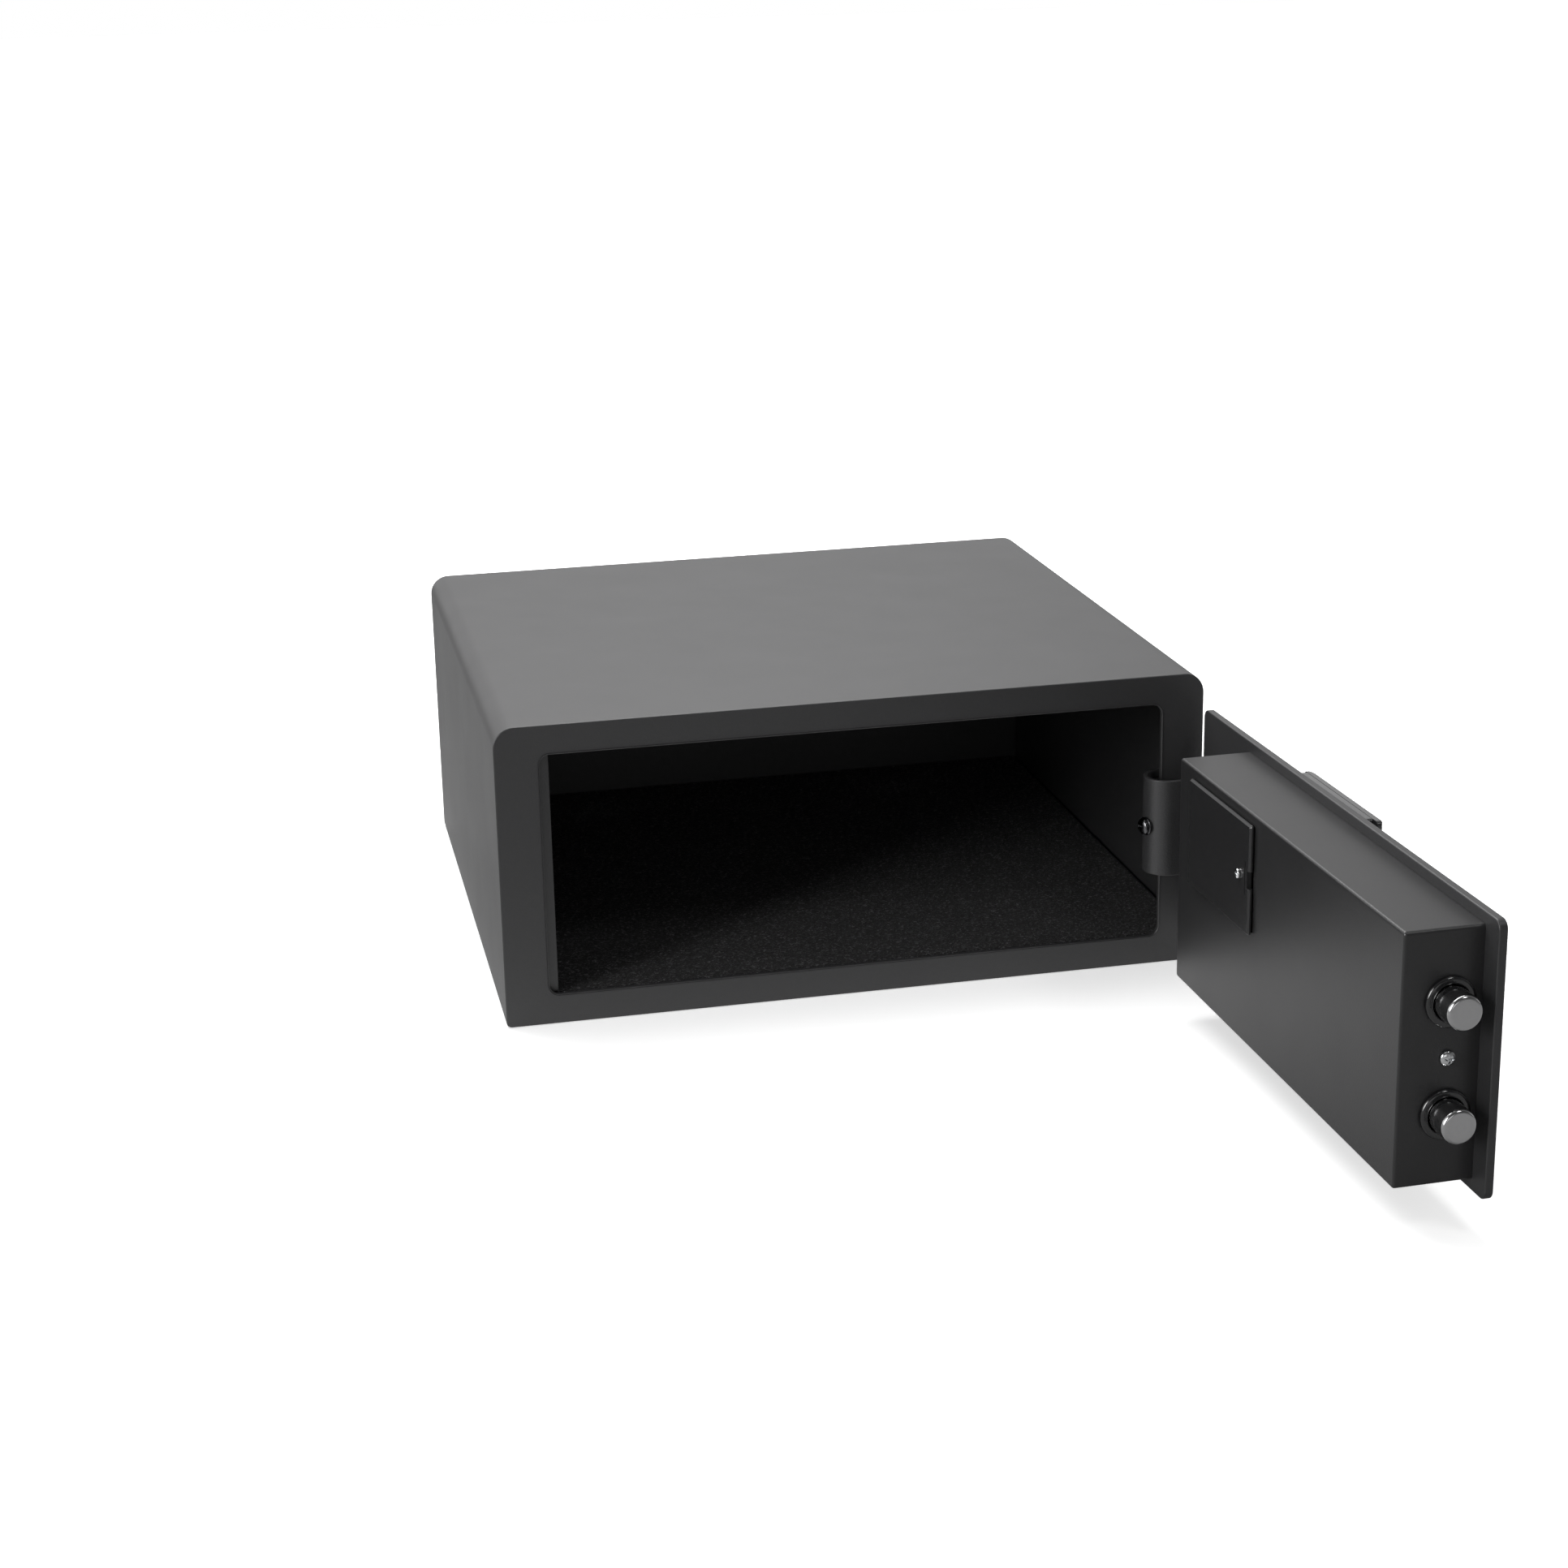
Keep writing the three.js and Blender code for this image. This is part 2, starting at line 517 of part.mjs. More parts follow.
// Bolt housing
const panLow = middle - panHeight / 2;
const panHigh = middle + panHeight / 2;
const lidHigh = panHigh - lidTop;
const lidLow = lidHigh - lidHeight;
const lidMiddle = (lidHigh + lidLow) / 2;
const boltHeights = { upper: middle + boltSpacing / 2, lower: middle - boltSpacing / 2 };
{
  const outer = alongY(doorRectangle(panStart, panEnd, panLow, panHigh, panEdgeRadius + 0.5),
    inward(seat - 5), inward(panDepth), panEdgeRadius, 3, 3);
  const cavity = doorBox(panStart + panSheet, panEnd - panSheet, -20, panDepth - panSheet,
    panLow + panSheet, panHigh - panSheet);
  const below = doorBox(panStart - 5, panEnd + 5, -30, seat, panLow - 5, panHigh + 5);
  const hatch = doorBox(lidStart + lidOverlap, lidStart + lidLength - lidOverlap, panDepth - 8, panDepth + 8,
    lidLow + lidOverlap, lidHigh - lidOverlap);
  const sleeve = boltRadius + running + bushWall + seat;
  const wallHole = (r, z) => rodX(r, across(panEnd + 5), across(panEnd - 10), inward(boltInset), z, 28);
  piece(closed, 'bolt_housing', cut(outer, cavity, below, hatch,
    wallHole(sleeve, boltHeights.upper), wallHole(sleeve, boltHeights.lower),
    wallHole(endScrewShank + seat, middle)), paint);

  // Guide bracket behind the end wall, with its foot on the door
  const plate1 = panEnd - panSheet - seat;
  const plate0 = plate1 - guideSheet;
  const low = middle - guideHeight / 2;
  const high = middle + guideHeight / 2;
  piece(closed, 'bolt_guide', cut(
    join(doorBox(plate0, plate1, seat, guideDepth, low, high),
      doorBox(plate0 - guideFoot, plate1, seat, seat + guideSheet, low, high)),
    wallHole(sleeve, boltHeights.upper), wallHole(sleeve, boltHeights.lower),
    wallHole(endScrewShank + seat, middle)), zinc);

  // Bushes and bolts, each pair alike
  const tip = panEnd + boltThrow;
  const shoulder = tip - boltLength;
  for (const [name, z] of Object.entries(boltHeights)) {
    const r0 = boltRadius + running;
    const r1 = r0 + bushWall;
    const start = plate0 - 1;
    const profile = [
      [r0, start], [r1, start], [r1, panEnd + seat], [bushFlangeRadius, panEnd + seat],
      [bushFlangeRadius, panEnd + seat + bushFlange * 0.5],
      [bushFlangeRadius - 1, panEnd + seat + bushFlange], [r0 + 0.8, panEnd + seat + bushFlange],
      [r0, panEnd + seat + bushFlange - 0.8], [r0, start],
    ];
    piece(closed, `bolt_bush_${name}`, turned(profile, 24).rotateZ(Math.PI / 2)
      .translate(hingeEdge, inward(boltInset), z), blackGloss);
    piece(closed, `bolt_${name}`, turned([
      [0, shoulder - carriageBar - 1], [boltNeckRadius - 0.6, shoulder - carriageBar - 1],
      [boltNeckRadius, shoulder - carriageBar - 0.4], [boltNeckRadius, shoulder],
      [boltRadius, shoulder], [boltRadius, tip - boltChamfer], [boltRadius - boltChamfer * 0.75, tip], [0, tip],
    ], 24).rotateZ(Math.PI / 2).translate(hingeEdge, inward(boltInset), z), steel);
  }
  piece(closed, 'end_screw', panScrew(endScrewHead, endScrewHeadHeight, endScrewShank, endScrewLength)
    .rotateZ(Math.PI / 2).translate(across(panEnd + seat), inward(boltInset), middle), chrome);

  // Carriage between the bolts, with a slotted yoke that the crank pin works in
  const bar1 = shoulder - seat;
  const bar0 = bar1 - carriageBar + seat;
  const crankU = bar0 - crankReach;
  const stroke = boltTravel / 2;
  const lost = stroke * 0.22;
  const slotHalf = crankPinRadius + lost + running;
  const slotU = crankU + stroke;
  const slotReach = stroke + crankPinRadius + running * 2;
  const bar = doorBox(bar0, bar1, boltInset - carriageWidth / 2, boltInset + carriageWidth / 2,
    boltHeights.lower - carriageEnd, boltHeights.upper + carriageEnd);
  const yoke = doorBox(slotU - slotHalf - 4, bar1, yokeInset, yokeInset + yokeSheet,
    middle - yokeWidth / 2, middle + yokeWidth / 2);
  const slot = alongY(doorRectangle(slotU - slotHalf, slotU + slotHalf, middle - slotReach, middle + slotReach,
    slotHalf * 0.95), inward(yokeInset - 5), inward(yokeInset + yokeSheet + 0.001));
  const neck = (z) => rodX(boltNeckRadius + seat, across(bar1 + 5), across(bar0 - 5), inward(boltInset), z);
  piece(closed, 'bolt_carriage', cut(join(bar, yoke), slot, neck(boltHeights.upper), neck(boltHeights.lower)), zinc);

  const disc0 = yokeInset + yokeSheet + crankGap;
  const disc1 = disc0 + crankSheet;
  piece(closed, 'drive_crank', cut(
    join(rodY(crankRadius, inward(disc0), inward(disc1), across(crankU), middle, 32),
      rodY(crankPinRadius, inward(yokeInset - 1), inward(disc0 + 1), across(slotU), middle, 16)),
    rodY(motorShaftRadius + running, inward(disc0 + 0.8), inward(disc1 + 5), across(crankU), middle, 16)), zinc);

  const gear0 = disc1 + 0.6;
  const gear1 = panDepth - panSheet - seat;
  const gearMiddle = (gear0 + gear1) / 2;
  const box0 = crankU - gearboxLength / 2;
  piece(closed, 'gear_motor', join(
    doorBox(box0, box0 + gearboxLength, gear0, gear1, middle - gearboxWidth / 2, middle + gearboxWidth / 2),
    rodX(motorRadius, across(box0 + 1), across(box0 - motorLength), inward(gearMiddle), middle, 24),
    rodX(motorShaftRadius, across(box0), across(box0 - motorLength - 3), inward(gearMiddle), middle, 12),
    rodY(motorShaftRadius, inward(disc0 + 1.2), inward(gear0 + 1), across(crankU), middle, 16)), zinc);
}

// Battery compartment behind its lid
{
  const u0 = lidStart + lidOverlap;
  const u1 = lidStart + lidLength - lidOverlap;
  const z0 = lidLow + lidOverlap;
  const z1 = lidHigh - lidOverlap;
  const mouth = panDepth - panSheet - seat;
  const floor0 = mouth - trayDepth;
  const floor1 = floor0 + trayWall;
  const bay = cellLength + cellNub + 2 * (contactSheet + contactGap) + 2 * seat;
  const split = u0 + bay;
  const screwU = lidStart + lidLength - lidScrewInset;
  const resetU = lidStart + lidLength - resetInset;
  const resetZ = z0 + 9;
  const tray = cut(
    doorBox(u0 - trayWall, u1 + trayWall, floor0, mouth, z0 - trayWall, z1 + trayWall),
    doorBox(u0, split, floor1, mouth + 5, z0, z1),
    doorBox(split + trayWall, u1, floor1, mouth + 5, z0, z1));
  const post = rodY(4, inward(floor0 + 0.5), inward(panDepth - 0.5), across(screwU), lidMiddle);
  piece(closed, 'battery_tray', cut(join(tray, post),
    rodY(lidScrewShank + 0.9, inward(panDepth - 12), inward(panDepth + 5), across(screwU), lidMiddle, 14),
    rodY(resetRadius + running, inward(floor0 - 5), inward(floor1 + 5), across(resetU), resetZ, 16)), blackPlastic);

  const contact = (a, b) => doorBox(a, b, floor1 + seat, mouth - 1, z0 + 1, z1 - 1);
  piece(closed, 'battery_contacts_inner', contact(u0 + seat, u0 + seat + contactSheet), steel);
  piece(closed, 'battery_contacts_outer', contact(split - seat - contactSheet, split - seat), steel);
  const pitch = (z1 - z0) / cellCount;
  for (let i = 0; i < cellCount; i += 1) {
    const flip = i % 2 ? -1 : 1;
    const cell = turned([
      [0, 0], [cellRadius - 0.8, 0], [cellRadius, 0.8], [cellRadius, cellLength - 0.8],
      [cellRadius - 0.8, cellLength], [cellNubRadius, cellLength], [cellNubRadius, cellLength + cellNub],
      [0, cellLength + cellNub],
    ], 16).translate(0, -(cellLength + cellNub) / 2, 0).rotateZ(flip * Math.PI / 2);
    piece(closed, `battery_${i + 1}`, cell.translate(across(u0 + bay / 2),
      inward(floor1 + seat + cellRadius), z0 + pitch * (i + 0.5)), cellSleeve);
  }

  // The lid: two tabs on the hinge side, a finger notch and a flexing slot at the free end
  const face = panDepth + seat;
  const plate = alongY(doorRectangle(lidStart, lidStart + lidLength, lidLow, lidHigh, 1.5),
    inward(face), inward(face + lidSheet), lidChamfer, 3);
  const end = lidStart + lidLength;
  const tab = (z) => doorBox(u0 + 0.8, u0 + 0.8 + lidTabSheet, face - 2.6, face + 1, z - lidTab / 2, z + lidTab / 2);
  piece(closed, 'battery_lid', cut(join(plate, tab(lidMiddle + 18), tab(lidMiddle - 18)),
    doorBox(end - lidNotchDepth, end + 5, face - 5, face + lidSheet + 5, lidMiddle - lidNotch / 2,
      lidMiddle + lidNotch / 2),
    doorBox(end - lidSlotInset - lidSlotWidth, end - lidSlotInset, face - 5, face + lidSheet + 5,
      lidMiddle - lidSlot / 2, lidMiddle + lidSlot / 2),
    rodY(lidScrewShank + seat, inward(face - 5), inward(face + lidSheet + 5), across(screwU), lidMiddle, 14)),
  darkPaint);
  piece(closed, 'lid_screw', panScrew(lidScrewHead, lidScrewHeadHeight, lidScrewShank, lidScrewLength)
    .translate(across(screwU), inward(face + lidSheet + seat), lidMiddle), chrome);

  // Circuit board on four posts, and the reset button that stands on it
  const b0 = boardStandoff;
  const b1 = b0 + boardSheet;
  const boardLow = middle - boardHeight / 2 + 6;
  const boardHigh = boardLow + boardHeight;
  const post4 = [];
  for (const u of [boardStart + 5, boardStart + boardLength - 5]) {
    for (const z of [boardLow + 5, boardHigh - 5]) {
      post4.push(rodY(standoffRadius, inward(seat), inward(b0 + 0.5), across(u), z, 12));
    }
  }
  piece(closed, 'circuit_board', join(
    doorBox(boardStart, boardStart + boardLength, b0, b1, boardLow, boardHigh), ...post4,
    doorBox(boardStart + 40, boardStart + 58, b1 - 0.5, b1 + 2, middle - 4, middle + 14),
    doorBox(boardStart + 44, boardStart + 64, b1 - 0.5, b1 + 7, boardHigh - 16, boardHigh - 8),
    doorBox(boardStart + 46, boardStart + 60, b1 - 0.5, b1 + 7, boardLow + 8, boardLow + 16)), boardGreen);
  const stemFoot = b1 + seat + resetTravel;
  piece(closed, 'reset_button', turned([
    [0, stemFoot], [resetRadius + 1.2, stemFoot], [resetRadius + 1.2, floor0 - seat], [resetRadius, floor0 - seat],
    [resetRadius, floor1 + 2.5], [resetRadius - 0.5, floor1 + 3], [0, floor1 + 3],
  ], 18).translate(across(resetU), innerFace, resetZ), red);
}

// Keypad module
{
  const u0 = keypadStart;
  const u1 = keypadStart + keypadLength;
  const z0 = middle - keypadHeight / 2;
  const z1 = middle + keypadHeight / 2;
  const outside = -doorPlate - keypadDepth;
  const fasciaBack = outside + fasciaSheet;
  const foot = -doorPlate - seat;
  const rim = fasciaBack + seat;
  const baseEnd = u1 - keypadOverhang;
  const windowZ = middle + windowRise;
  const coverPivot = { u: lockU + coverPivotReach, z: lockZ };

  const base = join(
    alongY(doorRectangle(u0 + 2, baseEnd, z0 + 1, z1 - 1, keypadCornerRadius * 0.7), inward(rim), inward(foot), 0, 3),
    doorBox(baseEnd - 10, u1 + keypadLip, foot - baseFloor, foot, z0 + 8, z1 - 1));
  piece(closed, 'keypad_base', cut(base,
    alongY(doorRectangle(u0 + 2 + baseWall, baseEnd - baseWall, z0 + 1 + baseWall, z1 - 1 - baseWall,
      keypadCornerRadius * 0.4), inward(rim - 5), inward(foot - baseFloor), 0, 3),
    rodY(lockRadius + seat, inward(foot - 20), inward(foot + 5), across(lockU), lockZ),
    rodY(leadRadius, inward(foot - 5), inward(foot + 5), across(leadU), middle - leadDrop, 16)), blackPlastic);

  // Fascia: sloped at its hinge end, with openings for the keys, the display and the lock
  const section = new THREE.Shape([
    [across(u1), inward(fasciaBack)], [across(u1), inward(outside + 0.8)], [across(u1 - 0.8), inward(outside)],
    [across(u0 + keypadSlope), inward(outside)], [across(u0 + keypadSlope * 0.45), inward(outside + 0.7)],
    [across(u0), inward(fasciaBack)],
  ].map(([x, y]) => new THREE.Vector2(x, y)));
  const outline = alongY(doorRectangle(u0, u1, z0, z1, keypadCornerRadius),
    inward(outside - 5), inward(fasciaBack + 5), 0, 4);
  const keyHole = (u, z) => alongY(doorRectangle(u - keyLength / 2 - running, u + keyLength / 2 + running,
    z - keyHeight / 2 - running, z + keyHeight / 2 + running, keyRadius + running),
  inward(outside - 5), inward(fasciaBack + 5), 0, 2);
  const windowHole = alongY(doorRectangle(keypadMiddle - windowLength / 2, keypadMiddle + windowLength / 2,
    windowZ - windowHeight / 2, windowZ + windowHeight / 2, windowRadius),
  inward(outside - 5), inward(fasciaBack + 5), 0, 3);
  const names = [['1', '2', '3'], ['4', '5', '6'], ['7', '8', '9'], ['clear', '0', 'lock']];
  const keys = [];
  names.forEach((row, r) => row.forEach((name, c) => keys.push({
    name, u: keypadMiddle + keyPitchAcross * (1 - c), z: middle + keyTopRow - keyPitchUp * r,
  })));
  piece(closed, 'keypad_fascia', cut(common(alongZ(section, z0, z1), outline),
    ...keys.map((k) => keyHole(k.u, k.z)), windowHole,
    rodY(lockRadius + 1.5, inward(outside - 5), inward(fasciaBack + 5), across(lockU), lockZ, 24),
    rodY(1.5 + running, inward(outside - 5), inward(fasciaBack + 5), across(coverPivot.u), coverPivot.z, 12)),
  blackPlastic);

  const keyTop = outside - keyProud;
  const rimTop = fasciaBack + seat;
  for (const k of keys) {
    const cap = (grow, v0, v1, edge) => alongY(doorRectangle(
      k.u - keyLength / 2 - grow, k.u + keyLength / 2 + grow,
      k.z - keyHeight / 2 - grow, k.z + keyHeight / 2 + grow, keyRadius + grow), inward(v0), inward(v1), edge, edge > 0 ? 2 : 1);
    piece(closed, `key_${k.name}`, join(cap(0, keyTop, rimTop + keyRimSheet - 0.2, 0.5),
      cap(keyRim, rimTop, rimTop + keyRimSheet, 0)), greyPlastic);
  }

  piece(closed, 'display_window', alongY(doorRectangle(
    keypadMiddle - windowLength / 2 + seat, keypadMiddle + windowLength / 2 - seat,
    windowZ - windowHeight / 2 + seat, windowZ + windowHeight / 2 - seat, windowRadius - seat),
  inward(outside + windowRecess), inward(outside + windowRecess + windowSheet), 0.2, 3), smoked);

  // Emergency lock: body through the door, plug with a keyway and a cam, and a swivelling cover
  const face = outside + lockSetback;
  const rear = face + lockLength;
  piece(closed, 'lock_cylinder', cut(
    rodY(lockRadius, inward(face), inward(rear), across(lockU), lockZ, 28),
    rodY(plugRadius + running, inward(face - 5), inward(rear + 5), across(lockU), lockZ, 24)), zinc);
  const keyway = doorBox(lockU - 0.7, lockU + 0.7, face - 2, face + 12, lockZ - 3.6, lockZ + 3.6);
  piece(closed, 'lock_plug', cut(join(
    rodY(plugRadius, inward(face + 0.4), inward(rear + seat + camSheet), across(lockU), lockZ, 24),
    alongY(roundedRectangle(across(lockU) - camWidth / 2, across(lockU) + camWidth / 2, lockZ - camWidth / 2,
      lockZ - camWidth / 2 + camLength, camWidth * 0.45), inward(rear + seat), inward(rear + seat + camSheet))),
  keyway), brass);
  const cover = rodY(coverRadius, inward(outside - seat - coverSheet), inward(outside - seat),
    across(lockU), lockZ, 32);
  const ear = rodY(4.5, inward(outside - seat - coverSheet), inward(outside - seat),
    across(coverPivot.u), coverPivot.z, 20);
  const stub = rodY(1.5, inward(outside - seat - 1), inward(fasciaBack), across(coverPivot.u), coverPivot.z, 12);
  piece(closed, 'lock_cover', join(cover, ear, stub), blackPlastic);
}

export default safe;
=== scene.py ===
"""Looks for a laptop safe: powder coated steel, needle-felt lining, bright bolts and a keypad."""

import json
import math

import bmesh
import bpy
import numpy as np
from bpy.props import FloatProperty, FloatVectorProperty, IntProperty, PointerProperty
from mathutils import Matrix, Vector

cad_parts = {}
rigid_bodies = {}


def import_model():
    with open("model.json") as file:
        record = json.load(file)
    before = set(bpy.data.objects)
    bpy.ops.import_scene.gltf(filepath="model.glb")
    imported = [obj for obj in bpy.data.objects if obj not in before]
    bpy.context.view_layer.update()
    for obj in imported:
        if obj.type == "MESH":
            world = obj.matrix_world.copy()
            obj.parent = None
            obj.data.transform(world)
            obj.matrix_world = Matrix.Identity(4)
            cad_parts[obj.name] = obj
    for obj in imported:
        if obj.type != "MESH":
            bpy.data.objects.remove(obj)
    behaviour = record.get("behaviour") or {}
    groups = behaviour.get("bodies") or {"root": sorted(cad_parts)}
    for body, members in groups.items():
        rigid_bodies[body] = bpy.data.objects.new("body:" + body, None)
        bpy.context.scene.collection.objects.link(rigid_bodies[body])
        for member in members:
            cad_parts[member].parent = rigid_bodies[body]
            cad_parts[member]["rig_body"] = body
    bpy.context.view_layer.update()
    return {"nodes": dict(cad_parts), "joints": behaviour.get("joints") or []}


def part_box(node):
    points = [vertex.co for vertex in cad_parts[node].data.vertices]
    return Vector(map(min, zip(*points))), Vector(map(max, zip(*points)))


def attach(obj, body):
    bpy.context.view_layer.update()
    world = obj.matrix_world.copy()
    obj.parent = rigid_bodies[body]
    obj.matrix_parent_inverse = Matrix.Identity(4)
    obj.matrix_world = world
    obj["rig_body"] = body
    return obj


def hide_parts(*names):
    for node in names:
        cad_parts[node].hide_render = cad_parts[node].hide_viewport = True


bl_info = {
    "name": "Laptop safe",
    "version": (1, 0, 0),
    "blender": (4, 5, 0),
    "location": "View3D > Sidebar > Safe",
    "description": "Builds the finished surfaces of a laptop safe round its CAD solids",
    "category": "Object",
}

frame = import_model()

MM = 0.001
DIGIT_KEYS = ("1", "2", "3", "4", "5", "6", "7", "8", "9", "0")


# Places on the carcass and the door

def box_mm(node):
    """Lowest and highest corner of a CAD node at rest, as two arrays in millimetres."""
    low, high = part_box(node)
    return np.array(low) / MM, np.array(high) / MM


SHELL_LOW, SHELL_HIGH = box_mm("body_shell")
FRONT, BACK = SHELL_LOW[1], SHELL_HIGH[1]
HALF_WIDTH, HEIGHT = SHELL_HIGH[0], SHELL_HIGH[2]
MIDDLE = HEIGHT / 2
SWING = next(j for j in frame["joints"] if j["name"] == "door_swing")
PIVOT = np.array(SWING["pos_m"][:2]) / MM
OPEN = math.radians(-SWING["range_deg"][0])

# Sizes that the finished pieces share with the CAD solids, in millimetres

SEAT = 0.3
WALL, FRONT_SHEET = 2.0, 3.0
TOP_CORNER, FOOT_CORNER = 12.0, 3.0
FLOOR_ANCHOR, FLOOR_ANCHOR_SETBACK = HALF_WIDTH - 70, 60
BACK_ANCHOR, ANCHOR_RADIUS = HALF_WIDTH - 110, 5.0
OPENING_HALF, LIP = 184.25, 17.7
DOOR_CORNER, GAP_TOP, GAP_SIDE = 5.0, 0.9, 1.8
HINGE_EDGE = OPENING_HALF - GAP_SIDE
DOOR_WIDTH = 2 * HINGE_EDGE
PLATE = 4.4
INNER_FACE = FRONT + PLATE
PAN_START, PAN_END = 68.3, DOOR_WIDTH - 13.1
PAN_HALF, PAN_DEPTH, PAN_SHEET, PAN_ROLL = 65.5, 41.4, 1.5, 1.5
LID_START, LID_LENGTH, LID_HEIGHT, LID_DROP = 89.8, 86.4, 61.3, 5.2
LID_SHEET, LID_OVERLAP, LID_SCREW_INSET = 2.8, 0.8, 13.8
BOLT_RADIUS, BOLT_RISE, BOLT_INSET, BOLT_REACH = 9.0, 28.75, 16.8, 17.0
KEYPAD_DEPTH, KEY_PROUD = 9.0, 1.2


def on_door(points):
    """World places, in millimetres, of (u, v, z) points on the door: u runs from the hinge edge
    to the free edge, v from the inner face into the safe. The closed place is turned about the
    pin by the opening angle."""
    p = np.asarray(points, float)
    x, y = HINGE_EDGE - p[..., 0] - PIVOT[0], INNER_FACE + p[..., 1] - PIVOT[1]
    c, s = math.cos(OPEN), math.sin(OPEN)
    return np.stack([PIVOT[0] + c * x - s * y, PIVOT[1] + s * x + c * y, p[..., 2]], -1)


U_AXIS = on_door([1, 0, 0]) - on_door([0, 0, 0])
V_AXIS = on_door([0, 1, 0]) - on_door([0, 0, 0])


# Surfaces as arrays

def upright(outline, depth):
    """An outline in a level axis and Z, set at one depth."""
    return np.stack([outline[:, 0], np.full(len(outline), depth), outline[:, 1]], -1)


def plus_outline(half_width, reach):
    """Outline of a plus sign: arms of twice the half width that end at the reach."""
    w, r = half_width, reach
    return np.array([(w, w), (w, r), (-w, r), (-w, w), (-r, w), (-r, -w), (-w, -w), (-w, -r), (w, -r),
                     (w, -w), (r, -w), (r, w)])


def rounded_outline(x0, x1, z0, z1, low, high=None, steps=6):
    """Outline of a rectangle with rounded corners. Each corner is a quarter circle of its own
    radius about a centre that far from both sides; the sides are the straight runs between."""
    high = low if high is None else high
    quarter = np.linspace(0, math.pi / 2, steps + 1)
    corners = [(x1 - low, z0 + low, low, -math.pi / 2), (x1 - high, z1 - high, high, 0),
               (x0 + high, z1 - high, high, math.pi / 2), (x0 + low, z0 + low, low, math.pi)]
    return np.concatenate([
        np.stack([cx + r * np.cos(start + quarter), cz + r * np.sin(start + quarter)], -1)
        for cx, cz, r, start in corners])


def edge_roll(radius, steps=4):
    """Offsets (along, across) of a quarter round edge: along = r(1 - sin a), across = r(1 - cos a),
    for a from 0 to a right angle."""
    a = np.linspace(0, math.pi / 2, steps + 1)
    return np.stack([radius * (1 - np.sin(a)), radius * (1 - np.cos(a))], -1)


def ring_quads(rings, points, wrap=False):
    """Quads that join each ring to the next, and the last to the first where the surface wraps."""
    i = np.arange(rings if wrap else rings - 1)[:, None]
    j = np.arange(points)[None, :]
    k, m = (i + 1) % rings, (j + 1) % points
    quads = np.stack([i * points + j, i * points + m, k * points + m, k * points + j], -1)
    return quads.reshape(-1, 4)


def signed_volume(points, quads, caps):
    """Sum over triangles of a . (b x c) / 6, which is positive where faces point outwards."""
    tris = np.concatenate([quads[:, [0, 1, 2]], quads[:, [0, 2, 3]]])
    for cap in caps:
        fan = np.array(cap)
        tris = np.concatenate([tris, np.stack([
            np.full(len(fan) - 2, fan[0]), fan[1:-1], fan[2:]], -1)])
    a, b, c = points[tris[:, 0]], points[tris[:, 1]], points[tris[:, 2]]
    return float(np.einsum("ij,ij->i", a, np.cross(b, c)).sum() / 6)


def surface_mesh(name, points, quads, caps=()):
    """A mesh from points in millimetres, quads as an array and caps as point lists, turned so
    that its faces point outwards."""
    points = np.asarray(points, float).reshape(-1, 3) * MM
    centred = points - points.mean(0)
    if signed_volume(centred, quads, caps) < 0:
        quads, caps = quads[:, ::-1], [cap[::-1] for cap in caps]
    mesh = bpy.data.meshes.new(name)
    sizes = np.concatenate([np.full(len(quads), 4), [len(cap) for cap in caps]]).astype(int)
    loops = np.concatenate([quads.ravel(), *[np.asarray(cap) for cap in caps]]).astype(np.int32)
    mesh.vertices.add(len(points))
    mesh.vertices.foreach_set("co", points.astype(np.float32).ravel())
    mesh.loops.add(len(loops))
    mesh.loops.foreach_set("vertex_index", loops)
    mesh.polygons.add(len(sizes))
    mesh.polygons.foreach_set("loop_start", np.concatenate([[0], np.cumsum(sizes)[:-1]]).astype(np.int32))
    mesh.update(calc_edges=True)
    mesh.validate()
    return mesh


def loft(name, rings, wrap=False):
    """A closed mesh through an array of rings, rings x points x 3. Without wrap its two ends are
    closed flat."""
    rings = np.asarray(rings, float)
    count, size = rings.shape[:2]
    caps = [] if wrap else [list(range(size))[::-1], [(count - 1) * size + j for j in range(size)]]
    return surface_mesh(name, rings, ring_quads(count, size, wrap), caps)


def turned_mesh(name, profile, centre, axis, sides=48):
    """A mesh turned from (radius, distance) pairs. The point at angle a is
    centre + distance . axis + radius (cos a . p + sin a . q), with p and q square to the axis.
    Its UV map holds radius and distance in metres, for the lathe's marks."""
    axis = np.asarray(axis, float) / np.linalg.norm(axis)
    p = np.cross(axis, [0, 0, 1.0])
    p = p / np.linalg.norm(p) if np.linalg.norm(p) > 0.1 else np.array([1.0, 0, 0])
    q = np.cross(axis, p)
    profile = np.asarray(profile, float)
    a = np.linspace(0, 2 * math.pi, sides, endpoint=False)
    round_it = np.cos(a)[:, None] * p + np.sin(a)[:, None] * q
    rings = (np.asarray(centre, float) + profile[:, 1, None, None] * axis
             + profile[:, 0, None, None] * round_it)
    closed = bool(np.allclose(profile[0], profile[-1]))
    mesh = loft(name, rings[:-1] if closed else rings, wrap=closed)
    index = np.empty(len(mesh.loops), np.int32)
    mesh.loops.foreach_get("vertex_index", index)
    used = profile[:-1] if closed else profile
    layer = mesh.uv_layers.new(name="lathe")
    layer.data.foreach_set("uv", (used[index // sides] * MM).astype(np.float32).ravel())
    return mesh


def swept_mesh(name, path, normals, section):
    """A section of (offset, height) pairs carried along a path in plan: the ring at each path
    point is path + offset . normal, at its height."""
    plan = path[:, None, :] + section[None, :, 0, None] * normals[:, None, :]
    rise = np.broadcast_to(section[None, :, 1, None], plan.shape[:2] + (1,))
    return loft(name, np.concatenate([plan, rise], -1))


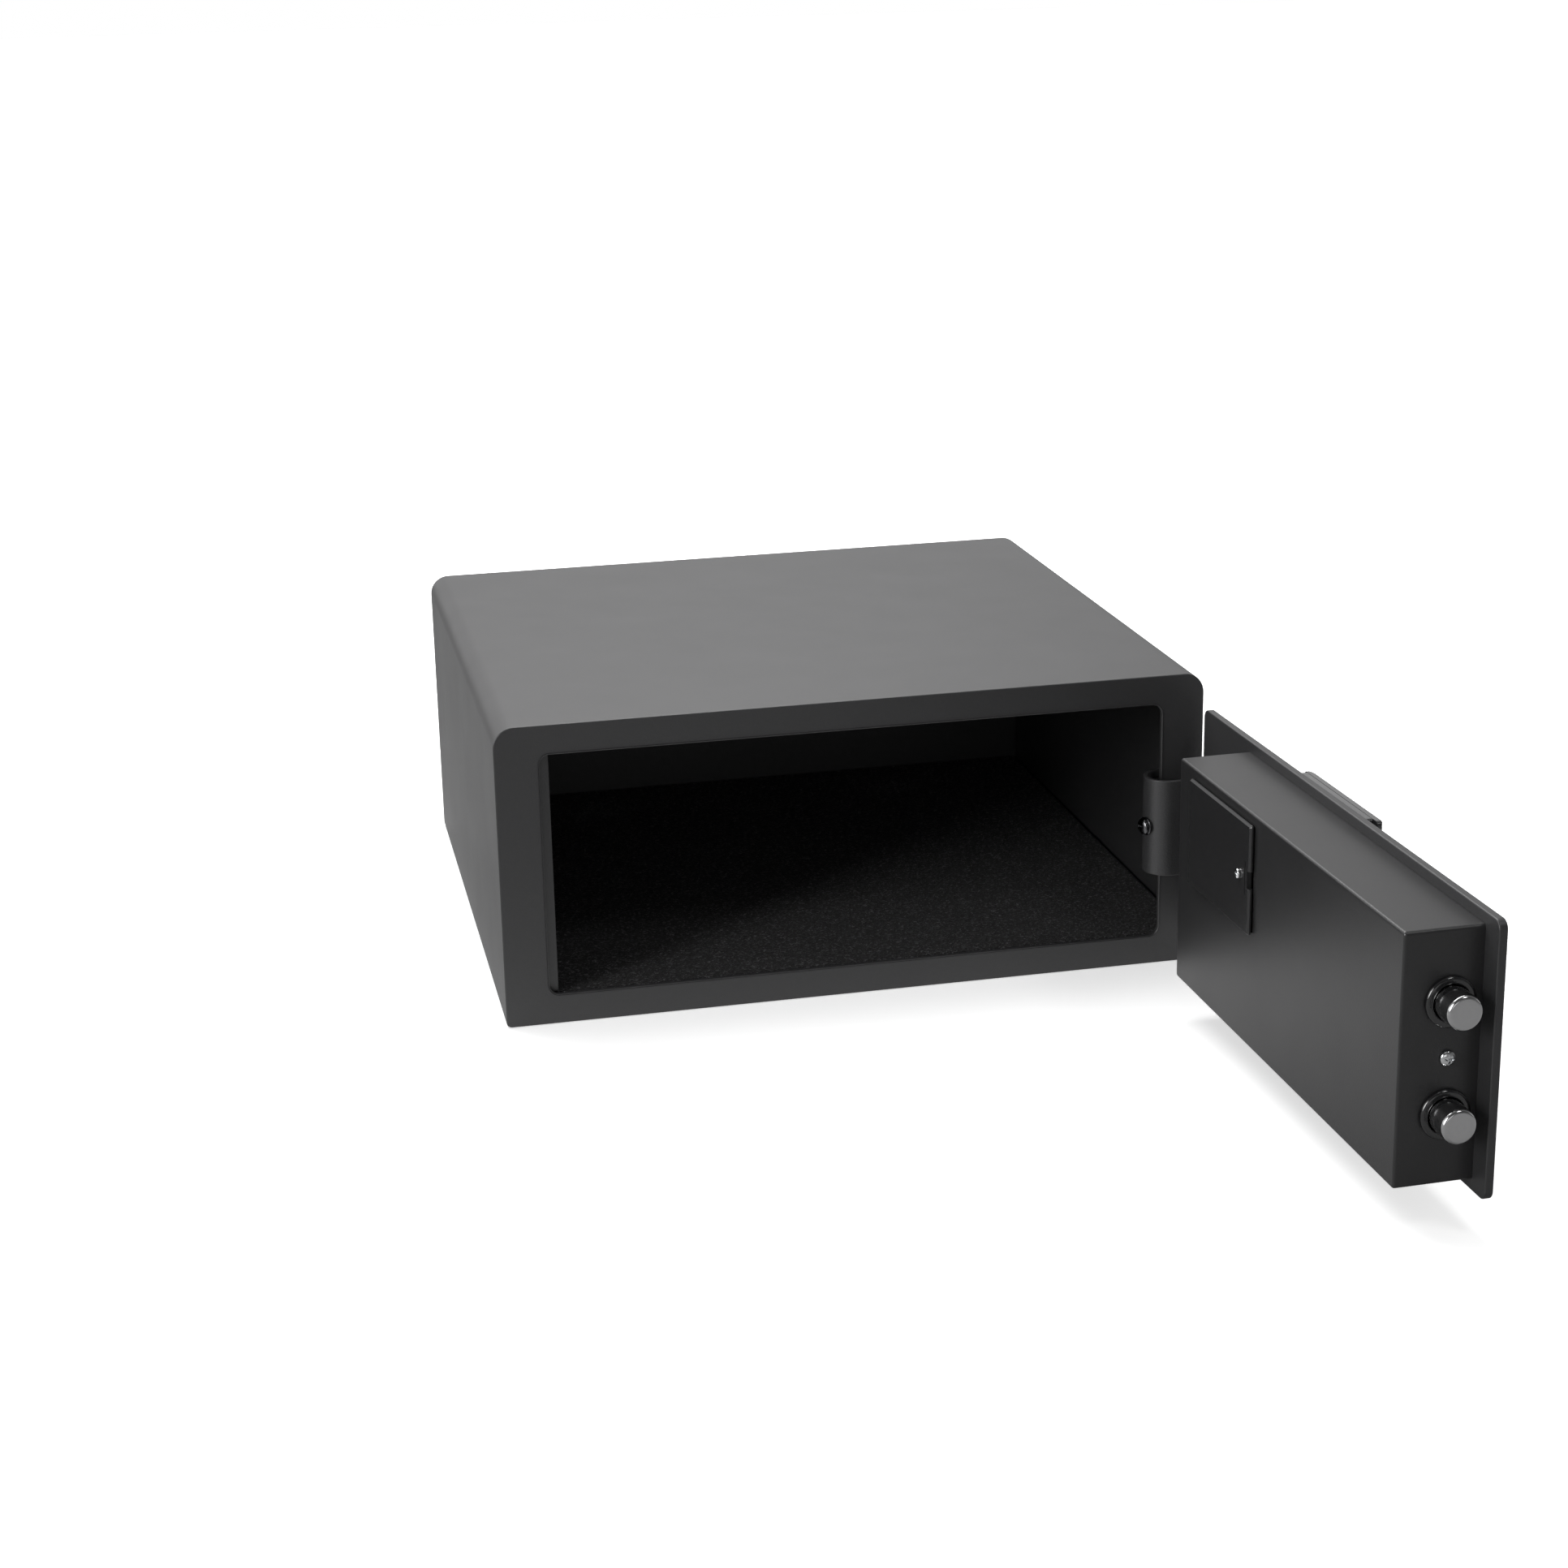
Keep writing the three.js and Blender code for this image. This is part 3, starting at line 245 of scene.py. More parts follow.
def arc(cx, cy, radius, start, end, steps):
    """Points of an arc about (cx, cy), with the unit vectors from its centre."""
    a = np.linspace(start, end, steps + 1)
    out = np.stack([np.cos(a), np.sin(a)], -1)
    return np.array([cx, cy]) + radius * out, out


def lattice_noise(x, y, seed, cell):
    """Smooth noise from -1 to 1: random values on a square lattice of the given cell, blended
    between lattice points by 3t^2 - 2t^3."""
    rng = np.random.default_rng(seed)
    table = rng.uniform(-1, 1, (512, 512))
    gx, gy = x / cell, y / cell
    ix, iy = np.floor(gx).astype(int), np.floor(gy).astype(int)
    fx, fy = gx - ix, gy - iy
    fx, fy = fx * fx * (3 - 2 * fx), fy * fy * (3 - 2 * fy)
    ix, iy = ix % 512, iy % 512
    jx, jy = (ix + 1) % 512, (iy + 1) % 512
    near = table[ix, iy] * (1 - fx) + table[jx, iy] * fx
    far = table[ix, jy] * (1 - fx) + table[jx, jy] * fx
    return near * (1 - fy) + far * fy


# Pieces

def finish_piece(mesh, name, finish, body, stands_for=(), sharp=32.0):
    """Puts a mesh in the scene with smooth shading that breaks at edges above the sharp angle,
    keeps flats flat by area-weighted normals, and ties it to its body, finish and CAD nodes."""
    piece = bpy.data.objects.new(name, mesh)
    bpy.context.scene.collection.objects.link(piece)
    mesh.materials.clear()
    mesh.materials.append(FINISHES[finish])
    mesh.polygons.foreach_set("use_smooth", np.ones(len(mesh.polygons), bool))
    mesh.set_sharp_from_angle(angle=math.radians(sharp))
    if sharp < 180:
        weighted = piece.modifiers.new("Flat faces stay flat", "WEIGHTED_NORMAL")
        weighted.keep_sharp = True
        weighted.weight = 90
    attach(piece, body)
    if stands_for:
        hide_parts(*stands_for)
    return piece


def carved(mesh, tool_meshes):
    """A copy of a closed mesh with the closed tool meshes cut out of it."""
    body = bpy.data.objects.new("carved_body", mesh)
    bpy.context.scene.collection.objects.link(body)
    tools = []
    for tool_mesh in tool_meshes:
        tool = bpy.data.objects.new("tool", tool_mesh)
        bpy.context.scene.collection.objects.link(tool)
        cut = body.modifiers.new("cut", "BOOLEAN")
        cut.operation, cut.solver, cut.object = "DIFFERENCE", "EXACT", tool
        tools.append(tool)
    bpy.context.view_layer.update()
    made = bpy.data.meshes.new_from_object(
        body.evaluated_get(bpy.context.evaluated_depsgraph_get()))
    for thing in [body, *tools]:
        bpy.data.objects.remove(thing)
    return made


def drilled(mesh, holes):
    """A copy of a closed mesh with round holes cut through it. Each hole is
    (centre, axis, radius, length) in millimetres."""
    def drill(centre, axis, radius, length):
        half, middle = length / 2, 0.001
        profile = [(middle, -half), (radius, -half), (radius, half), (middle, half)]
        return turned_mesh("drill", profile, centre, axis, 32)

    return carved(mesh, [drill(*hole) for hole in holes])


def pan_screw(name, seat, axis, head, height, shank, length, washer=0.0):
    """A pan-head screw standing at its seat with its head along the axis. The crown is a quarter
    of an ellipse, r = head sin a and rise = height (0.4 + 0.6 cos a), over an optional washer
    face, with a cross recess that narrows downwards."""
    top, brim, tip = washer + height, head * 1.15, 0.01
    a = np.linspace(math.pi / 2, 0.002, 9)
    crown = np.stack([head * np.sin(a), washer + height * (0.4 + 0.6 * np.cos(a))], -1)
    collar = [(brim - 0.2, 0), (brim, 0.2), (brim, washer - 0.25), (brim - 0.25, washer)]
    profile = [(tip, -length), (shank * 0.7, -length), (shank, -length + shank * 0.5), (shank, 0),
               *(collar if washer else [(head - 0.1, 0)]), (head, washer), *crown.tolist()]
    body = turned_mesh(name, profile, seat, axis, 40)
    axis = np.asarray(axis, float) / np.linalg.norm(axis)
    p = np.cross(axis, [0, 0, 1.0])
    q = np.cross(axis, p)
    plus = plus_outline(head * 0.16, head * 0.62)
    rings = [np.asarray(seat, float) + rise * axis + size * (plus[:, :1] * p + plus[:, 1:] * q)
             for rise, size in ((top - height * 0.55, 0.72), (top + 0.5, 1.12))]
    return carved(body, [loft("recess", rings)])


def softened(solid, name, finish, width, steps=2):
    """A copy of a CAD solid with its doubles merged, its flat neighbours joined, and every edge
    sharper than 28 degrees rounded over the width, in millimetres."""
    source = frame["nodes"][solid]
    mesh = bpy.data.meshes.new(name)
    work = bmesh.new()
    work.from_mesh(source.data)
    bmesh.ops.remove_doubles(work, verts=work.verts, dist=1e-5)
    bmesh.ops.dissolve_limit(work, angle_limit=math.radians(0.6), verts=work.verts, edges=work.edges)
    work.to_mesh(mesh)
    work.free()
    piece = bpy.data.objects.new(name, mesh)
    bpy.context.scene.collection.objects.link(piece)
    mesh.materials.clear()
    mesh.materials.append(FINISHES[finish])
    mesh.polygons.foreach_set("use_smooth", np.ones(len(mesh.polygons), bool))
    rounded = piece.modifiers.new("Rounded edges", "BEVEL")
    rounded.limit_method, rounded.angle_limit = "ANGLE", math.radians(28)
    rounded.width, rounded.segments = width * MM, steps
    rounded.use_clamp_overlap = True
    weighted = piece.modifiers.new("Flat faces stay flat", "WEIGHTED_NORMAL")
    weighted.weight = 90
    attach(piece, source["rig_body"])
    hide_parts(solid)
    return piece


# Shader building

def feed(tree, socket, value):
    """Feeds a socket from another one, or sets its value. A colour may be given as three numbers."""
    if isinstance(value, bpy.types.NodeSocket):
        tree.links.new(value, socket)
    elif socket.type == "RGBA" and len(value) == 3:
        socket.default_value = (*value, 1)
    else:
        socket.default_value = value


def node(tree, kind, settings=None, **inputs):
    """A node with its settings and inputs. An input is named in words, or by its number after an
    underscore, and is given as a value or as the socket that feeds it."""
    made = tree.nodes.new(kind)
    for key, value in (settings or {}).items():
        setattr(made, key, value)
    for key, value in inputs.items():
        numbered = key[0] == "_" and key[1:].isdigit()
        feed(tree, made.inputs[int(key[1:]) if numbered else key.replace("_", " ")], value)
    return made


def maths(tree, operation, *values, clamp=False):
    """The result of a Math node."""
    numbered = {f"_{i}": value for i, value in enumerate(values)}
    return node(tree, "ShaderNodeMath", {"operation": operation, "use_clamp": clamp}, **numbered).outputs[0]


def spread(tree, value, start, end, low=0.0, high=1.0, smooth=False):
    """The run of a value from start to end carried to the run from low to high, and held there
    beyond both ends."""
    settings = {"interpolation_type": "SMOOTHSTEP" if smooth else "LINEAR"}
    return node(tree, "ShaderNodeMapRange", settings, Value=value, From_Min=start, From_Max=end,
                To_Min=low, To_Max=high).outputs[0]


def noise(tree, place, scale, detail, roughness=0.5, flat=False, **more):
    """The grey value of a noise texture at a place, in the plane of a flat map or in space."""
    settings = {"noise_dimensions": "2D" if flat else "3D"}
    return node(tree, "ShaderNodeTexNoise", settings, Vector=place, Scale=scale, Detail=detail,
                Roughness=roughness, **more).outputs["Fac"]


def mixed(tree, mask, a, b):
    """Colour a where the mask is 0, colour b where it is 1."""
    return node(tree, "ShaderNodeMix", {"data_type": "RGBA"}, _0=mask, _6=a, _7=b).outputs[2]


def blend(tree, mask, a, b):
    """Number a where the mask is 0, number b where it is 1."""
    return node(tree, "ShaderNodeMix", {"data_type": "FLOAT"}, _0=mask, _2=a, _3=b).outputs[0]


def shade(colour, factor):
    """A colour made lighter or darker by a factor."""
    return tuple(min(1.0, max(0.0, c * factor)) for c in colour)


def new_group(name, sizes, outputs):
    """An empty shader group with Coordinates, the sizes with their defaults, and the named
    outputs: the group, what its inputs give and what its outputs take."""
    group = bpy.data.node_groups.new(name, "ShaderNodeTree")
    group.interface.new_socket("Coordinates", in_out="INPUT", socket_type="NodeSocketVector")
    for socket, value in sizes.items():
        made = group.interface.new_socket(socket, in_out="INPUT", socket_type="NodeSocketFloat")
        made.default_value = value
    for socket in outputs:
        group.interface.new_socket(socket, in_out="OUTPUT", socket_type="NodeSocketFloat")
    return group, group.nodes.new("NodeGroupInput").outputs, group.nodes.new("NodeGroupOutput").inputs


def group_node(tree, name, **inputs):
    """What a placed shader group puts out, with its own values."""
    made = tree.nodes.new("ShaderNodeGroup")
    made.node_tree = bpy.data.node_groups[name]
    for key, value in inputs.items():
        feed(tree, made.inputs[key.replace("_", " ")], value)
    return made.outputs


def coat_grain_group():
    """Orange peel of powder coat, its fine tone, and slow drifts of gloss."""
    g, i, o = new_group("Coat grain", {"Grain Size": 0.0006, "Flow Size": 0.03}, ("Height", "Tone", "Flow"))
    fine = maths(g, "DIVIDE", 1.0, i["Grain Size"])
    cells = node(g, "ShaderNodeTexVoronoi", {"feature": "SMOOTH_F1"}, Vector=i["Coordinates"], Scale=fine,
                 Smoothness=0.6)
    grit = noise(g, i["Coordinates"], fine, 2.0, 0.55)
    feed(g, o["Height"], maths(g, "MULTIPLY_ADD", cells.outputs["Distance"], -0.8, grit))
    feed(g, o["Tone"], grit)
    feed(g, o["Flow"], noise(g, i["Coordinates"], maths(g, "DIVIDE", 1.0, i["Flow Size"]), 3.0))


def edge_wear_and_highlight_group():
    """A patchy mask where the surface turns within the radius: edges paler from rubbing, and where the amount
    is raised a painted highlight along them.
    """
    g, i, o = new_group("Edge wear", {"Radius": 0.0012, "Amount": 0.5}, ("Mask",))
    soft = node(g, "ShaderNodeBevel", {"samples": 4}, Radius=i["Radius"])
    plain = node(g, "ShaderNodeNewGeometry")
    match = node(g, "ShaderNodeVectorMath", {"operation": "DOT_PRODUCT"}, _0=soft.outputs["Normal"],
                 _1=plain.outputs["Normal"])
    turn = spread(g, match.outputs["Value"], 0.995, 0.86)
    patchiness = spread(g, noise(g, i["Coordinates"], 160.0, 4.0), 0.42, 0.62, 0.25)
    feed(g, o["Mask"], maths(g, "MULTIPLY", maths(g, "MULTIPLY", turn, patchiness), i["Amount"]))


def settled_dust_group():
    """Cloudy dust with specks on what faces up."""
    g, i, o = new_group("Settled dust", {"Amount": 0.1}, ("Mask",))
    facing = node(g, "ShaderNodeNewGeometry").outputs["Normal"]
    up = spread(g, node(g, "ShaderNodeSeparateXYZ", None, Vector=facing).outputs["Z"], 0.6, 1.0)
    clouds = noise(g, i["Coordinates"], 26.0, 6.0, 0.62)
    spots = spread(g, noise(g, i["Coordinates"], 900.0, 1.0), 0.62, 0.78, 0.35)
    settled = maths(g, "MULTIPLY", maths(g, "MULTIPLY", up, clouds), spots)
    feed(g, o["Mask"], maths(g, "MULTIPLY", settled, i["Amount"]))


def lathe_marks_group():
    """Fine rings of a turned surface and broad bands of tone, on its flat lathe map."""
    g, i, o = new_group("Lathe marks", {"Spacing": 0.0004}, ("Height", "Tone"))
    rate = maths(g, "DIVIDE", 1.0, i["Spacing"])
    feed(g, o["Height"], noise(g, i["Coordinates"], rate, 3.0, 0.6, flat=True))
    feed(g, o["Tone"], noise(g, i["Coordinates"], 420.0, 1.0, flat=True))


def felt_group():
    """Tangled fibres, pale flecks and broad clumps of needle felt."""
    g, i, o = new_group("Felt", {"Fibre Size": 0.0011}, ("Height", "Specks", "Clumps"))
    rate = maths(g, "DIVIDE", 1.0, i["Fibre Size"])
    bend = node(g, "ShaderNodeTexNoise", None, Vector=i["Coordinates"], Scale=320.0, Detail=1.0)
    bent = node(g, "ShaderNodeVectorMath", {"operation": "MULTIPLY_ADD"}, _0=bend.outputs["Color"],
                _1=(0.003, 0.003, 0.003), _2=i["Coordinates"]).outputs[0]
    hair = noise(g, bent, rate, 4.0, 0.7, Distortion=0.6)
    knots = node(g, "ShaderNodeTexVoronoi", None, Vector=bent, Scale=rate)
    feed(g, o["Height"], maths(g, "MULTIPLY_ADD", knots.outputs["Distance"], -0.5, hair))
    feed(g, o["Specks"], spread(g, noise(g, bent, rate, 2.0, 0.8), 0.55, 0.66))
    feed(g, o["Clumps"], noise(g, i["Coordinates"], 90.0, 3.0))


# Finishes

FINISHES = {}
COAT_IOR, PLASTIC_IOR = 1.56, 1.49
DUST_COLOUR = (0.42, 0.41, 0.39)


def blank_material(name):
    """A material with an empty tree holding a Principled shader, its output and coordinates."""
    material = bpy.data.materials.new(name)
    material.use_nodes = True
    tree = material.node_tree
    tree.nodes.clear()
    out = tree.nodes.new("ShaderNodeOutputMaterial")
    shader = tree.nodes.new("ShaderNodeBsdfPrincipled")
    tree.links.new(shader.outputs["BSDF"], out.inputs["Surface"])
    return material, tree, shader.inputs, tree.nodes.new("ShaderNodeTexCoord").outputs


def relief(tree, surface, height, depth):
    """Feeds a surface's normal with a bump of that height, over a depth in metres."""
    bump = node(tree, "ShaderNodeBump", None, Strength=1.0, Distance=depth, Height=height)
    tree.links.new(bump.outputs["Normal"], surface["Normal"])


def powder_coat(name, colour, roughness, grain, depth, wear_and_highlight=0.35, dust=0.05):
    """Baked powder coat: a fine orange peel, slow drifts of gloss and tone, paler edges from rubbing that
    also serve as a painted highlight where the amount is raised, and a trace of dust on what faces up."""
    material, tree, surface, place = blank_material(name)
    peel = group_node(tree, "Coat grain", Coordinates=place["Object"], Grain_Size=grain, Flow_Size=0.05)
    edge = group_node(tree, "Edge wear", Coordinates=place["Object"], Radius=0.0009, Amount=wear_and_highlight)["Mask"]
    settled = group_node(tree, "Settled dust", Coordinates=place["Object"], Amount=dust)["Mask"]
    base = mixed(tree, spread(tree, peel["Tone"], 0.3, 0.7), shade(colour, 0.94), shade(colour, 1.06))
    # Paler edges: rubbing, and where the amount is raised, as on the lid, a painted highlight along the
    # edges.
    rubbed_and_highlit = mixed(tree, edge, base, shade(colour, 1.9))
    feed(tree, surface["Base Color"], mixed(tree, settled, rubbed_and_highlit, DUST_COLOUR))
    gloss = spread(tree, peel["Flow"], 0.3, 0.7, roughness - 0.015, roughness + 0.015)
    feed(tree, surface["Roughness"], maths(tree, "MULTIPLY_ADD", edge, -0.12, gloss))
    relief(tree, surface, peel["Height"], depth)
    surface["IOR"].default_value = COAT_IOR
    return material


def turned_metal(name, colour, roughness, spacing, depth):
    """Turned and polished metal: fine rings across the ends and round the sides, from the
    piece's own lathe map, with slow changes of polish."""
    material, tree, surface, place = blank_material(name)
    marks = group_node(tree, "Lathe marks", Coordinates=place["UV"], Spacing=spacing)
    feed(tree, surface["Base Color"], mixed(tree, marks["Tone"], shade(colour, 0.95), shade(colour, 1.03)))
    smear = noise(tree, place["Object"], 70.0, 2.0)
    feed(tree, surface["Roughness"], spread(tree, smear, 0.3, 0.7, roughness - 0.015, roughness + 0.02))
    relief(tree, surface, marks["Height"], depth)
    surface["Metallic"].default_value = 1.0
    return material


def plated_metal(name, colour, roughness, wear_and_highlight=0.3):
    """Plated metal: cloudy changes of tone and gloss, and brighter rubbed edges."""
    material, tree, surface, place = blank_material(name)
    peel = group_node(tree, "Coat grain", Coordinates=place["Object"], Grain_Size=0.0005, Flow_Size=0.008)
    edge = group_node(tree, "Edge wear", Coordinates=place["Object"], Radius=0.0005, Amount=wear_and_highlight)["Mask"]
    base = mixed(tree, peel["Flow"], shade(colour, 0.82), shade(colour, 1.1))
    feed(tree, surface["Base Color"], mixed(tree, edge, base, shade(colour, 1.35)))
    feed(tree, surface["Roughness"], spread(tree, peel["Flow"], 0.3, 0.7, roughness - 0.06, roughness + 0.08))
    relief(tree, surface, peel["Height"], 0.00001)
    surface["Metallic"].default_value = 1.0
    return material


def moulded_plastic(name, colour, roughness, depth=0.00003, wear_and_highlight=0.25, varnish=0.0):
    """Moulded plastic: a fine etched texture, slightly paler where edges are handled."""
    material, tree, surface, place = blank_material(name)
    peel = group_node(tree, "Coat grain", Coordinates=place["Object"], Grain_Size=0.0005, Flow_Size=0.02)
    edge = group_node(tree, "Edge wear", Coordinates=place["Object"], Radius=0.0006, Amount=wear_and_highlight)["Mask"]
    base = mixed(tree, peel["Tone"], shade(colour, 0.9), shade(colour, 1.12))
    feed(tree, surface["Base Color"], mixed(tree, edge, base, shade(colour, 1.6)))
    feed(tree, surface["Roughness"], spread(tree, peel["Flow"], 0.3, 0.7, roughness - 0.04, roughness + 0.05))
    relief(tree, surface, peel["Height"], depth)
    surface["IOR"].default_value = PLASTIC_IOR
    surface["Coat Weight"].default_value = varnish
    surface["Coat Roughness"].default_value = 0.12
    return material


def needle_felt(name, dark, speck):
    """Needle felt: near-black fibres with grey flecks, clumped, with a soft sheen."""
    material, tree, surface, place = blank_material(name)
    pile = group_node(tree, "Felt", Coordinates=place["Object"], Fibre_Size=0.0016)
    ground = mixed(tree, pile["Clumps"], shade(dark, 0.6), shade(dark, 1.5))
    feed(tree, surface["Base Color"], mixed(tree, pile["Specks"], ground, speck))
    relief(tree, surface, pile["Height"], 0.0009)
    surface["Roughness"].default_value = 0.85
    surface["Sheen Weight"].default_value = 0.06
    surface["Sheen Roughness"].default_value = 0.45
    return material


def build_finishes(settings):
    """Makes the shared effects, and every finish from the colours in the settings."""
    for build in (coat_grain_group, edge_wear_and_highlight_group, settled_dust_group, lathe_marks_group, felt_group):
        build()
    coat, dark = tuple(settings.coat_colour), tuple(settings.inner_coat_colour)
    pad, keys = tuple(settings.keypad_colour), tuple(settings.key_colour)
    matt, grain = settings.coat_roughness, settings.coat_grain * MM
    FINISHES.update({
        "coat": powder_coat("Powder coat", coat, matt, grain, 0.00004),
        # The housing takes the coat darkened to 0.62 times: painted shade over its faces.
        "housing": powder_coat("Powder coat, housing", shade(coat, 0.62), matt - 0.06, grain, 0.00003,
                               wear_and_highlight=0.3, dust=0.02),
        # The lid's edges are made far paler: a painted highlight along its rolled edges.
        "lid": powder_coat("Powder coat, lid", dark, 0.24, grain, 0.00002, wear_and_highlight=0.9),
        "coat_dark": powder_coat("Powder coat, inside", dark, 0.5, 0.0005, 0.00003, wear_and_highlight=0.2, dust=0.02),
        # The strap takes the coat lightened to 1.25 times, with a heavier grain: painted light on its curved
        # bend.
        "strap": powder_coat("Powder coat, heavy", shade(coat, 1.25), 0.42, 0.0009, 0.00009,
                             wear_and_highlight=0.5, dust=0.0),
        "steel": turned_metal("Turned steel", (0.55, 0.55, 0.555), 0.15, 0.0003, 0.0000005),
        "zinc": plated_metal("Zinc plate", (0.5, 0.51, 0.53), 0.3),
        "chrome": plated_metal("Bright chrome", (0.82, 0.83, 0.84), 0.09, wear_and_highlight=0.1),
        "black_nickel": plated_metal("Black nickel", (0.12, 0.12, 0.125), 0.16, wear_and_highlight=0.8),
        "bush": moulded_plastic("Black acetal", (0.01, 0.01, 0.011), 0.09, 0.000004, wear_and_highlight=0.1, varnish=1.0),
        "plastic": moulded_plastic("Black plastic", pad, 0.42),
        "fascia": moulded_plastic("Varnished plastic", pad, 0.3, 0.000012, varnish=1.0),
        "grey": moulded_plastic("Grey plastic", keys, 0.45),
        "window": moulded_plastic("Smoked window", (0.006, 0.007, 0.009), 0.06, 0.000002, wear_and_highlight=0.05),
        "legend": moulded_plastic("Legend ink", (0.75, 0.76, 0.77), 0.5, 0.00001, wear_and_highlight=0.0),
        "board": moulded_plastic("Solder mask", (0.015, 0.075, 0.03), 0.35, wear_and_highlight=0.1),
        "sleeve": moulded_plastic("Cell sleeve", (0.05, 0.055, 0.062), 0.28, 0.00001, wear_and_highlight=0.1),
        "brass": plated_metal("Machined brass", (0.55, 0.4, 0.16), 0.28),
        "red": moulded_plastic("Red plastic", (0.35, 0.03, 0.02), 0.4),
        "felt": needle_felt("Needle felt", tuple(settings.felt_colour), tuple(settings.fleck_colour)),
    })


# Sizes and colours that a user would change

class SafeSettings(bpy.types.PropertyGroup):
    """The sizes and colours that the panel shows"""
    coat_colour: FloatVectorProperty(
        name="Coat", description="Powder coat of the carcass, the door and the housing",
        subtype="COLOR", size=3, min=0, max=1, default=(0.04, 0.04, 0.0415))
    inner_coat_colour: FloatVectorProperty(
        name="Inner coat", description="Powder coat of the inner floor, the hinge arm and the lid",
        subtype="COLOR", size=3, min=0, max=1, default=(0.03, 0.03, 0.031))
    coat_roughness: FloatProperty(
        name="Coat roughness", description="How matt the powder coat is", min=0.1, max=1, default=0.42)
    coat_grain: FloatProperty(
        name="Coat grain", description="Size of the powder coat's orange peel, in millimetres",
        min=0.1, max=5, default=0.6)
    felt_colour: FloatVectorProperty(
        name="Felt", description="Ground colour of the needle felt",
        subtype="COLOR", size=3, min=0, max=1, default=(0.005, 0.005, 0.0053))
    fleck_colour: FloatVectorProperty(
        name="Flecks", description="Grey fibres in the needle felt",
        subtype="COLOR", size=3, min=0, max=1, default=(0.15, 0.15, 0.155))
    felt_pile: FloatProperty(
        name="Pile", description="Height of the felt's unevenness, in millimetres",
        min=0, max=2, default=0.55)
    stray_fibres: IntProperty(
        name="Stray fibres", description="How many fibres stand out of the felt",
        min=0, max=15000, default=9000)
    keypad_colour: FloatVectorProperty(
        name="Keypad", description="Plastic of the keypad", subtype="COLOR", size=3, min=0, max=1,
        default=(0.03, 0.03, 0.032))
    key_colour: FloatVectorProperty(
        name="Keys", description="Plastic of the keys", subtype="COLOR", size=3, min=0, max=1,
        default=(0.15, 0.152, 0.156))
    legend_height: FloatProperty(
        name="Figure height", description="Height of the figures on the keys", unit="LENGTH",
        min=0.003, max=0.012, default=0.0075)
    bolt_edge: FloatProperty(
        name="Bolt edge", description="Radius of the edge at the tips of the bolts, in millimetres",
        min=0.5, max=4, default=1.9)
    door_edge: FloatProperty(
        name="Door edge", description="Radius of the door plate's edges, in millimetres",
        min=0.2, max=2, default=0.8)


# Pieces by group

class SAFE_OT_finishes(bpy.types.Operator):
    """Makes the shared shader groups and every finish"""
    bl_idname = "safe.finishes"
    bl_label = "Finishes"

    def execute(self, context):
        build_finishes(context.scene.laptop_safe)
        return {"FINISHED"}


class SAFE_OT_carcass(bpy.types.Operator):
    """Builds the carcass shell, its back, the strike rail and the hinge lugs"""
    bl_idname = "safe.carcass"
    bl_label = "Carcass"

    def execute(self, context):
        steps, front_roll, back_roll, slip = 10, 0.7, 0.3, 0.02

        def outer(inset):
            return rounded_outline(-HALF_WIDTH + inset, HALF_WIDTH - inset, inset, HEIGHT - inset,
                                   max(FOOT_CORNER - inset, 0.8), TOP_CORNER - inset, steps)

        def inner(inset):
            """The inside of the walls, or an outline that far within it."""
            side = WALL + inset
            return rounded_outline(-HALF_WIDTH + side, HALF_WIDTH - side, side, HEIGHT - side,
                                   WALL - inset, TOP_CORNER - side, steps)

        def mouth(outset):
            return rounded_outline(-OPENING_HALF - outset, OPENING_HALF + outset, LIP - outset,
                                   HEIGHT - LIP + outset, DOOR_CORNER + GAP_TOP + outset, None, steps)

        rings = [upright(inner(0), BACK), upright(outer(back_roll), BACK),
                 upright(outer(0), BACK - back_roll)]
        rings += [upright(outer(across), FRONT + along) for along, across in edge_roll(front_roll, 5)]
        rings += [upright(mouth(front_roll - across), FRONT + front_roll - along)
                  for along, across in edge_roll(front_roll, 4)[::-1]]
        rings += [upright(mouth(0), FRONT + FRONT_SHEET), upright(inner(0), FRONT + FRONT_SHEET)]
        holes = [((side * FLOOR_ANCHOR, FLOOR_ANCHOR_SETBACK, 0), (0, 0, 1), ANCHOR_RADIUS, 30)
                 for side in (-1, 1)]
        finish_piece(drilled(loft("carcass", rings, wrap=True), holes), "carcass", "coat", "carcass",
                     ["body_shell"])
        # The back lies in the shell with no gap that light would show through.
        low, high = box_mm("back_panel")
        rings = [upright(inner(slip + across), y)
                 for across, y in ((0, low[1]), (0, high[1] - back_roll), (back_roll, high[1]))]
        anchors = [((side * BACK_ANCHOR, high[1], MIDDLE), (0, 1, 0), ANCHOR_RADIUS, 12) for side in (-1, 1)]
        finish_piece(drilled(loft("back_sheet", rings), anchors), "back_sheet", "coat", "carcass",
                     ["back_panel"])
        softened("false_floor", "inner_floor", "coat_dark", 0.4)
        softened("strike_rail", "door_stop", "coat", 0.5)
        softened("hinge_lug_upper", "lug_upper", "coat", 0.4)
        softened("hinge_lug_lower", "lug_lower", "coat", 0.4)
        softened("hinge_pin", "pin", "zinc", 0.2)
        return {"FINISHED"}


